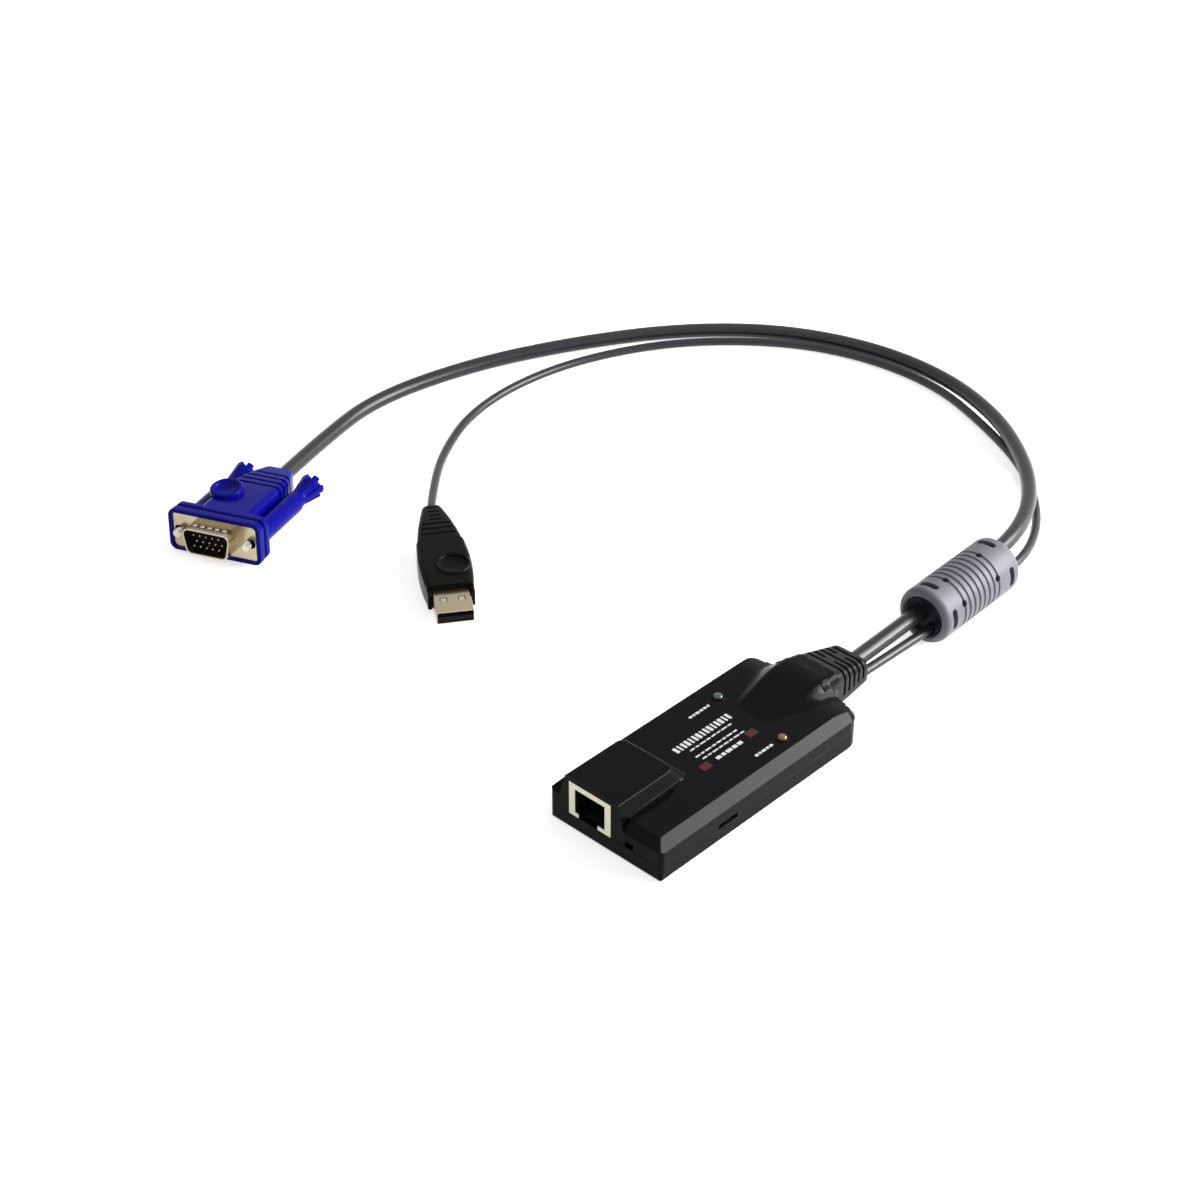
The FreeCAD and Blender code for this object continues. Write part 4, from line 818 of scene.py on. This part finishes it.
@dataclass
class VideoPlug:
    """The 15-pin video plug: moulded hood, D shell, pins and two thumbscrews."""

    rim: tuple[float, float] = (16.9, 7.5)
    plate: tuple[float, float] = (15.45, 6.3)
    screw_x: float = 12.5
    arm_radius: float = 3.6
    arm_bore: float = 1.9
    arm_end: float = 31.0
    grip: tuple[tuple[float, ...], ...] = (
        (5.0, 9.4, 6.3), (18.0, 9.3, 6.2), (26.0, 9.1, 6.0), (34.0, 8.3, 5.5),
        (40.0, 6.9, 4.9), (44.6, 5.2, 4.3))
    rings: tuple[float, ...] = (28.0, 31.2, 34.4, 37.6)
    ring_slot: float = 1.1
    ring_depth: float = 0.75
    boss: Point = (-5.8, 20.0, 8.2)
    pin_pitch: tuple[float, float] = (2.29, 1.98)
    drawn: Point = (1.06, 1.0, 1.1)
    head: tuple[float, float] = (31.4, 44.6)

    def hood(self) -> list[bpy.types.Object]:
        """Build the blue hood: rim and collar, body, finger boss and both arms.

        Returns:
            The hood's pieces.
        """
        (wide, high), (plate_wide, plate_high) = self.rim, self.plate
        collar = block("hood_rim", [
            (-0.6, wide, -high, high), (2.4, wide, -high, high),
            (2.7, wide - 1.0, 1.0 - high, high - 1.0), (3.5, wide - 1.0, 1.0 - high, high - 1.0),
            (3.8, wide - 0.15, 0.15 - high, high - 0.15),
            (6.2, wide - 0.15, 0.15 - high, high - 0.15)], 2.3, 5)
        soften(collar, 0.45, 50.0, 3)
        seat = block("seat", [(-1.5, plate_wide, -plate_high, plate_high),
                              (1.02, plate_wide, -plate_high, plate_high)], 1.5, 4)
        bores = [place(turned("bore", [(self.arm_bore, -2), (self.arm_bore, 8)], 32),
                       Matrix.Translation((x * MM, 0, 0)))
                 for x in (-self.screw_x, self.screw_x)]
        nest = block("nest", [(0.5, 8.5, -4.25, 4.25), (8.0, 8.5, -4.25, 4.25)])
        cut(collar, [seat, nest] + bores)
        places = [5.6] + [k * 2.0 for k in range(3, 14)]
        stations = [(y, *eased(self.grip, y)) for y in places]
        for start in self.rings:
            for y, step in ((start, 0.0), (start + 0.12, self.ring_depth),
                            (start + self.ring_slot - 0.12, self.ring_depth),
                            (start + self.ring_slot, 0.0)):
                half, tall = eased(self.grip, y)
                stations.append((y, half - step, tall - step))
        stations += [(y, *eased(self.grip, y)) for y in (40.2, 41.6, 43.0, 44.2)]
        half, tall = eased(self.grip, 44.6)
        stations.append((44.6, half - 0.5, tall - 0.5))
        body = block("hood_body", [(y, w, -t, t) for y, w, t in stations], 1.9, 5)
        x, y, top = self.boss
        boss = turned("finger_boss", [(5.7, 3.5), (5.6, top - 0.9), (5.45, top - 0.4),
                                      (5.1, top - 0.08), (4.75, top), (4.4, top - 0.15),
                                      (4.1, top - 0.6), (3.6, top - 1.2), (2.6, top - 1.55),
                                      (0.1, top - 1.65)], 56)
        place(boss, Matrix.Translation((x * MM, y * MM, 0)) @ Matrix.Rotation(
            math.radians(6.5), 4, "X"))
        r, bore, end = self.arm_radius, self.arm_bore, self.arm_end
        arm = turned("arm", [(bore, 5.8), (r, 5.8), (r, end - 0.7), (r - 0.2, end - 0.2),
                             (r - 0.6, end), (bore, end)], 48, hollow=True)
        arms = [twin(arm, f"hood_arm_{side}", VIDEO_SEAT.along(x=across))
                for side, across in (("left", -self.screw_x), ("right", self.screw_x))]
        discard(arm)
        place(collar, VIDEO_SEAT.along())
        place(body, VIDEO_SEAT.along())
        place(boss, VIDEO_SEAT.at())
        return [collar, body, boss] + arms

    def shell(self) -> None:
        """Draw the D shell and its insulator to their outer size and round their edges."""
        for node, name, finish, slot, edge in (
                ("vga_shell", "drawn_shell", PLUG_NICKEL, "plug_steel", 0.22),
                ("vga_insulator", "pin_block", NYLON, "socket_plastic", 0.15)):
            piece = place(copied(node, name), VIDEO_SEAT.at().inverted())
            for vertex in piece.data.vertices:
                vertex.select = vertex.co.y < -0.4 * MM
            bpy.ops.object.mode_set(mode="EDIT")
            bpy.ops.transform.resize(value=self.drawn, center_override=(0, 0, 0))
            close()
            soften(piece, edge, 40.0, 3)
            place(piece, VIDEO_SEAT.at())
            finish_off(piece, finish, nodes=(node,))

    def dimples(self) -> None:
        """Press the five dimples of the D shell's wide side."""
        dimple = turned("dimple", [(0.85, 4.1), (0.85, 4.24), (0.72, 4.42), (0.42, 4.56),
                                   (0.08, 4.6)], 20)
        row = [twin(dimple, f"shell_dimple_{number + 1}",
                    VIDEO_SEAT.at(x=(number - 2) * 2.7, y=-2.9, z=0.42)) for number in range(5)]
        finish_off(join(row), PLUG_NICKEL, smooth=60.0)
        discard(dimple)

    def pins(self) -> None:
        """Set the fifteen round-nosed pins in three rows, the middle row shifted."""
        pin = turned("pin", [(0.08, -4.9), (0.22, -4.8), (0.32, -4.55), (0.36, -4.3),
                             (0.36, -0.75)], 16)
        across, down = self.pin_pitch
        rows = [twin(pin, f"pin_{row + 1}_{column + 1}", VIDEO_SEAT.along(
                    x=(column - 2 + (0.25 if row == 1 else -0.25)) * across,
                    z=(1 - row) * down))
                for row in range(3) for column in range(5)]
        finish_off(join(rows), SCREW_STEEL, nodes=("vga_pins",), smooth=60.0)
        discard(pin)

    def screws(self) -> None:
        """Build both thumbscrews: a threaded point, its shank and a petalled head."""
        start, end = self.head
        profile = [(2.7, start), (3.0, start + 0.25), (3.0, start + 1.9), (2.6, start + 2.3),
                   (2.85, start + 2.9), (4.45, end - 0.9), (4.35, end - 0.35), (4.0, end)]
        head = turned("head", profile, 72)
        flutes = []
        for number in range(6):
            flute = turned("flute", [(0.75, start + 3.0), (1.3, end + 1.5)], 24)
            tilt = (Matrix.Rotation(math.radians(60 * number + 30), 4, "Z")
                    @ Matrix.Translation(Vector((3.15, 0, start + 3.0)) * MM)
                    @ Matrix.Rotation(math.radians(4.5), 4, "Y")
                    @ Matrix.Translation(Vector((0, 0, -start - 3.0)) * MM))
            flutes.append(place(flute, tilt))
        cut(head, flutes)
        threads = [(0.95, -3.2), (1.1, -3.08)]
        for number in range(4):
            crest = -2.85 + number * 0.635
            threads += [(1.17, crest - 0.24), (1.42, crest - 0.05), (1.42, crest + 0.05),
                        (1.17, crest + 0.3)]
        shaft = turned("shaft", threads + [(1.25, -0.3), (1.25, 41.0)], 32)
        for side, across, rider in (("left", -self.screw_x, Body.SCREW_LEFT),
                                    ("right", self.screw_x, Body.SCREW_RIGHT)):
            knob = twin(head, f"petal_head_{side}", VIDEO_SEAT.along(x=across))
            finish_off(knob, VIDEO_PVC, rider, (f"thumbscrew_head_{side}",))
            screw = twin(shaft, f"threaded_screw_{side}", VIDEO_SEAT.along(x=across))
            finish_off(screw, SCREW_STEEL, rider,
                       (f"thumbscrew_shaft_{side}",), 25.0)
        discard(head, shaft)

    def build(self) -> list[str]:
        """Build the plug.

        Returns:
            The names of the pieces that go with the video cord.
        """
        before = set(bpy.data.objects)
        for piece in self.hood():
            finish_off(piece, VIDEO_PVC, nodes=("vga_hood",))
        self.shell()
        self.dimples()
        self.pins()
        self.screws()
        return [item.name for item in bpy.data.objects if item not in before]


@dataclass
class UsbPlug:
    """The USB plug: its grip with ears and thumb recess, and the leaves in its windows."""

    grip: tuple[tuple[float, ...], ...] = (
        (11.5, 7.6, -4.75, 4.3), (16.0, 8.2, -4.9, 4.7), (24.0, 8.6, -4.95, 4.95),
        (31.0, 8.2, -4.9, 4.9), (39.0, 7.3, -4.7, 4.7), (48.0, 5.6, -4.0, 4.0),
        (57.0, 3.4, -2.9, 2.9))
    # Grooves over the neck: place along the plug and half length across it.
    ribs: tuple[tuple[float, float], ...] = ((54.4, 1.7), (51.9, 1.8), (49.4, 1.9), (46.8, 2.0),
                                             (44.3, 4.6), (41.4, 5.2), (38.4, 5.8))
    rib_depth: float = 0.45
    neck_start: float = 35.0
    neck_step: float = 0.3
    thumb: Point = (2.4, 20.9, 4.0)
    thumb_radius: float = 4.6
    ears: tuple[float, float] = (6.1, 7.6)
    windows: tuple[float, float] = (2.9, 6.6)

    def body(self) -> bpy.types.Object:
        """Raise the grip and dish it for the thumb.

        Returns:
            The grip.
        """
        stations = [(y, *eased(self.grip, y)) for y in (11.5, 12.5, 14, 16, 18.5, 21, 23.5,
                                                        26, 28.5, 31, 33, self.neck_start)]
        step = self.neck_step
        for y in (self.neck_start + 0.35, 37.5, 40, 42.5, 45, 47.5, 50, 52.5, 54.5, 56.0):
            half, low, high = eased(self.grip, y)
            stations.append((y, half - step, low + step, high - step))
        half, low, high = eased(self.grip, 57.0)
        stations.append((56.9, half - 0.8, low + 0.8, high - 0.8))
        grip = block("usb_grip", [(y, w, -high, -low) for y, w, low, high in stations],
                     2.3, 5)
        cutters = [block("nest", [(9.0, 6.05, -2.3, 2.3), (20.0, 6.05, -2.3, 2.3)])]
        for y, half in self.ribs:
            top = eased(self.grip, y)[2] - step - self.rib_depth
            cutters.append(block("groove", [(y - 0.4, half, -top - 2, -top),
                                            (y + 0.4, half, -top - 2, -top)]))
        x, y, floor = self.thumb
        dish = turned("dish", [(self.thumb_radius, 7.5), (self.thumb_radius, floor + 0.5),
                               (self.thumb_radius - 0.7, floor), (0.1, floor - 0.15)], 56)
        cutters.append(place(dish, Matrix.Translation(Vector((x, 0, y)) * MM)
                             @ Matrix.Rotation(math.radians(90), 4, "X")))
        cut(grip, cutters)
        soften(grip, 0.3, 50.0, 2)
        return place(grip, USB_SEAT.along())

    def build(self) -> list[str]:
        """Build the plug.

        Returns:
            The names of the pieces that go with the USB cord.
        """
        before = set(bpy.data.objects)
        finish_off(self.body(), USB_PVC, nodes=("usb_overmould",))
        r, (x, y, _) = self.thumb_radius, self.thumb
        rim = turned("thumb_rim", [(r + 1.15, 4.2), (r + 1.0, 5.1), (r + 0.6, 5.45),
                                   (r + 0.15, 5.3), (r - 0.1, 4.8), (r - 0.15, 4.1)], 56,
                     hollow=True)
        finish_off(place(rim, USB_SEAT.at(x, y)), USB_PVC, smooth=50.0)
        shell = copied("usb_shell", "folded_shell")
        soften(shell, 0.12, 40.0, 2)
        finish_off(shell, PLUG_NICKEL, nodes=("usb_shell",))
        inner, outer = self.ears
        ear = block("ear", [(8.8, (outer - inner) / 2, -2.8, 3.4),
                            (12.2, (outer - inner) / 2, -2.8, 3.4)])
        soften(ear, 0.45, 60.0, 3)
        leaf = block("leaf", [(-0.1, 1.0, -1.0, 1.0), (0.1, 0.9, -0.9, 0.9)], 0.2, 2)
        across, along = self.windows
        for side, sign in (("left", -1), ("right", 1)):
            copy = twin(ear, f"grip_ear_{side}", USB_SEAT.along(x=sign * (inner + outer) / 2))
            finish_off(copy, USB_PVC)
            copy = twin(leaf, f"window_leaf_{side}",
                        USB_SEAT.at(x=sign * across, y=along, z=1.92))
            finish_off(copy, SCREW_STEEL)
        discard(ear, leaf)
        return [item.name for item in bpy.data.objects if item not in before]


@dataclass
class Cord:
    """One free cord: its route on the desk and what it is fixed to."""

    name: str
    route_mm: tuple[Point, ...]
    diameter_mm: float
    length_mm: float
    node: str
    end_pieces: tuple[str, ...]
    body: Body = Body.DONGLE

    def build(self) -> bpy.types.Object:
        """Lay the cord as one smooth open spline with a round section.

        Returns:
            The cord's curve object.
        """
        curve = bpy.data.curves.new(self.name, "CURVE")
        curve.dimensions = "3D"
        curve.resolution_u = 12
        curve.bevel_depth = self.diameter_mm * MM / 2
        curve.bevel_resolution = 8
        curve.use_fill_caps = True
        spline = curve.splines.new("NURBS")
        spline.points.add(len(self.route_mm) - 1)
        for point, (x, y, z) in zip(spline.points, self.route_mm):
            point.co = (x * MM, y * MM, z * MM, 1.0)
        spline.order_u = 3
        spline.use_endpoint_u = True
        cord = bpy.data.objects.new(self.name, curve)
        bpy.context.scene.collection.objects.link(cord)
        curve.materials.append(CORD_PVC.build())
        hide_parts(self.node)
        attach(cord, self.body.value)
        return cord


@dataclass
class Cords:
    """Both cords, which leave the boot together, pass the ferrite and part on the desk."""

    video_route: tuple[Point, ...] = (
        (1.4, 62.0, 8.6), (1.3, 94.0, 9.7), (-1.3, 141.0, 10.2), (-7.2, 162.5, 9.4),
        (-18.5, 181.5, 8.4), (-35.6, 199.2, 6.9), (-58.6, 216.3, 5.0), (-90.0, 228.4, 3.2),
        (-124.0, 227.7, 2.7), (-157.0, 214.0, 2.7), (-184.5, 188.2, 2.7),
        (-205.8, 153.3, 2.7), (-221.2, 116.5, 2.7), (-228.3, 76.0, 2.7), (-220.5, 44.0, 3.0),
        (-208.6, 13.5, 5.0),
    )
    usb_route: tuple[Point, ...] = (
        (4.9, 62.0, 5.9), (5.9, 93.0, 5.8), (4.9, 139.5, 6.4), (-1.7, 161.0, 3.9),
        (-15.6, 182.4, 1.6), (-35.0, 199.8, 1.6), (-59.3, 212.2, 1.6), (-88.7, 223.3, 1.6),
        (-121.5, 222.4, 1.6), (-151.0, 210.3, 1.6), (-179.0, 184.0, 1.6),
        (-195.3, 152.0, 1.6), (-200.8, 121.0, 1.6), (-197.3, 92.5, 1.6), (-185.2, 68.5, 1.9),
        (-169.8, 49.3, 4.9), (-154.5, 33.5, 7.9),
    )

    def build(self, video_pieces: list[str], usb_pieces: list[str]) -> None:
        """Lay both cords.

        Args:
            video_pieces: names of the pieces that go with the video cord.
            usb_pieces: names of the pieces that go with the USB cord.
        """
        Cord("video_cord", self.video_route, 5.2, 503.2, "video_cable", (
            "slotted_boot", "ferrite_sleeve", "near_collar", "far_collar", "ferrite_core",
            *video_pieces)).build()
        Cord("usb_cord", self.usb_route, 3.0, 481.0, "usb_cable", (
            "usb_insulator", "usb_contacts", *usb_pieces)).build()


@dataclass(frozen=True)
class Lamp:
    """One soft lamp: its place and its sides in metres, and its power in watts."""

    name: str
    place: Point
    sides: tuple[float, float]
    watts: float


@dataclass
class Studio:
    """The pale floor, the soft lamps and the camera."""

    target_mm: Point = (-85.17, 41.84, 0.0)
    distance_mm: float = 804.98
    azimuth: float = 43.565
    elevation: float = 34.676
    lens_mm: float = 75.63
    aim: Point = (-0.04, 0.03, 0.0)
    # The key and rear lamps stand where the case's long bevel and the hump mirror them.
    lamps: tuple[Lamp, ...] = (
        Lamp("key_lamp", (0.755, 0.61, 0.315), (0.46, 0.24), 10.0),
        Lamp("rear_lamp", (0.47, 0.82, 0.47), (0.60, 0.60), 18.0),
        Lamp("top_lamp", (-0.3, 0.1, 1.3), (0.8, 0.8), 1.0),
        Lamp("fill_lamp", (-0.3, -1.0, 0.8), (0.8, 0.8), 1.4))
    floor_glow: float = 0.62
    world_light: float = 0.38

    def camera(self) -> None:
        """Stand the camera where it sees the whole part from above the front right."""
        turn, rise = math.radians(self.azimuth), math.radians(self.elevation)
        back = Vector((math.sin(turn) * math.cos(rise), -math.cos(turn) * math.cos(rise),
                       math.sin(rise)))
        data = bpy.data.cameras.new("studio_camera")
        data.lens, data.sensor_width, data.clip_start = self.lens_mm, 36.0, 0.01
        camera = bpy.data.objects.new("studio_camera", data)
        bpy.context.scene.collection.objects.link(camera)
        camera.location = (Vector(self.target_mm) + back * self.distance_mm) * MM
        camera.rotation_euler = (-back).to_track_quat("-Z", "Y").to_euler()
        bpy.context.scene.camera = camera

    def seen(self, tree: bpy.types.NodeTree) -> bpy.types.NodeSocket:
        """Tell the rays that reach the eye, directly or by a mirror or a lens, from others.

        Args:
            tree: the node tree that gets the nodes.

        Returns:
            A socket that is 1 for those rays.
        """
        path = add_node(tree, "ShaderNodeLightPath")
        direct = add_node(tree, "ShaderNodeMath", {"operation": "MAXIMUM"},
                          {0: path.outputs["Is Camera Ray"], 1: path.outputs["Is Glossy Ray"]})
        every = add_node(tree, "ShaderNodeMath", {"operation": "MAXIMUM"},
                         {0: direct.outputs[0], 1: path.outputs["Is Transmission Ray"]})
        return every.outputs[0]

    def white(self, name: str) -> bpy.types.Material:
        """Make a floor that looks white to the camera and takes the object's shadow.

        Args:
            name: the material's name.

        Returns:
            The floor's material.
        """
        material = bpy.data.materials.new(name)
        material.use_nodes = True
        tree = material.node_tree
        tree.nodes.clear()
        matt = add_node(tree, "ShaderNodeBsdfDiffuse", Color=linear("f2f2f2"))
        glow = add_node(tree, "ShaderNodeEmission", Color=(1.0, 1.0, 1.0, 1.0),
                        Strength=self.floor_glow)
        both = add_node(tree, "ShaderNodeAddShader",
                        links={0: matt.outputs[0], 1: glow.outputs[0]})
        mixed = add_node(tree, "ShaderNodeMixShader",
                         links={"Fac": self.seen(tree), 1: matt.outputs[0],
                                2: both.outputs[0]})
        add_node(tree, "ShaderNodeOutputMaterial", links={"Surface": mixed.outputs[0]})
        return material

    def floor(self) -> None:
        """Lay a large floor just under the part."""
        deselect()
        bpy.ops.mesh.primitive_plane_add(size=6.0, location=(0, 0, -0.00005))
        floor = bpy.context.active_object
        floor.name = "floor"
        floor.data.materials.append(self.white("pale_floor"))

    def world(self) -> None:
        """Surround the part with plain light that looks white where it is seen."""
        world = bpy.data.worlds.new("studio_world")
        bpy.context.scene.world = world
        world.use_nodes = True
        tree = world.node_tree
        tree.nodes.clear()
        dim = add_node(tree, "ShaderNodeBackground", Color=(1.0, 1.0, 1.0, 1.0),
                       Strength=self.world_light)
        bright = add_node(tree, "ShaderNodeBackground", Color=(1.0, 1.0, 1.0, 1.0),
                          Strength=1.0)
        mixed = add_node(tree, "ShaderNodeMixShader",
                         links={"Fac": self.seen(tree), 1: dim.outputs[0],
                                2: bright.outputs[0]})
        add_node(tree, "ShaderNodeOutputWorld", links={"Surface": mixed.outputs[0]})

    def hang(self, lamp: Lamp) -> None:
        """Hang one soft lamp so that it faces the point that all lamps are aimed at.

        Args:
            lamp: what to hang, and where.
        """
        data = bpy.data.lights.new(lamp.name, "AREA")
        data.shape, data.energy = "RECTANGLE", lamp.watts
        data.size, data.size_y = lamp.sides
        light = bpy.data.objects.new(lamp.name, data)
        bpy.context.scene.collection.objects.link(light)
        light.location = lamp.place
        facing = Vector(self.aim) - Vector(lamp.place)
        light.rotation_euler = facing.to_track_quat("-Z", "Y").to_euler()

    def build(self) -> None:
        """Set up the camera, the floor, the world and the lamps."""
        self.camera()
        self.floor()
        self.world()
        for lamp in self.lamps:
            self.hang(lamp)
        bpy.context.scene.view_settings.view_transform = "Standard"


def dress_nodes() -> None:
    """Give every CAD node its real material."""
    for name, finish in NODE_FINISHES.items():
        dress(frame["nodes"][name], finish)


def main() -> None:
    """Build the studio and every piece in order."""
    logging.basicConfig(level=logging.INFO, format="%(name)s: %(message)s")
    Studio().build()
    dress_nodes()
    Case().build()
    Boot().build()
    Ferrite().build()
    Cords().build(VideoPlug().build(), UsbPlug().build())


if __name__ == "__main__":
    main()
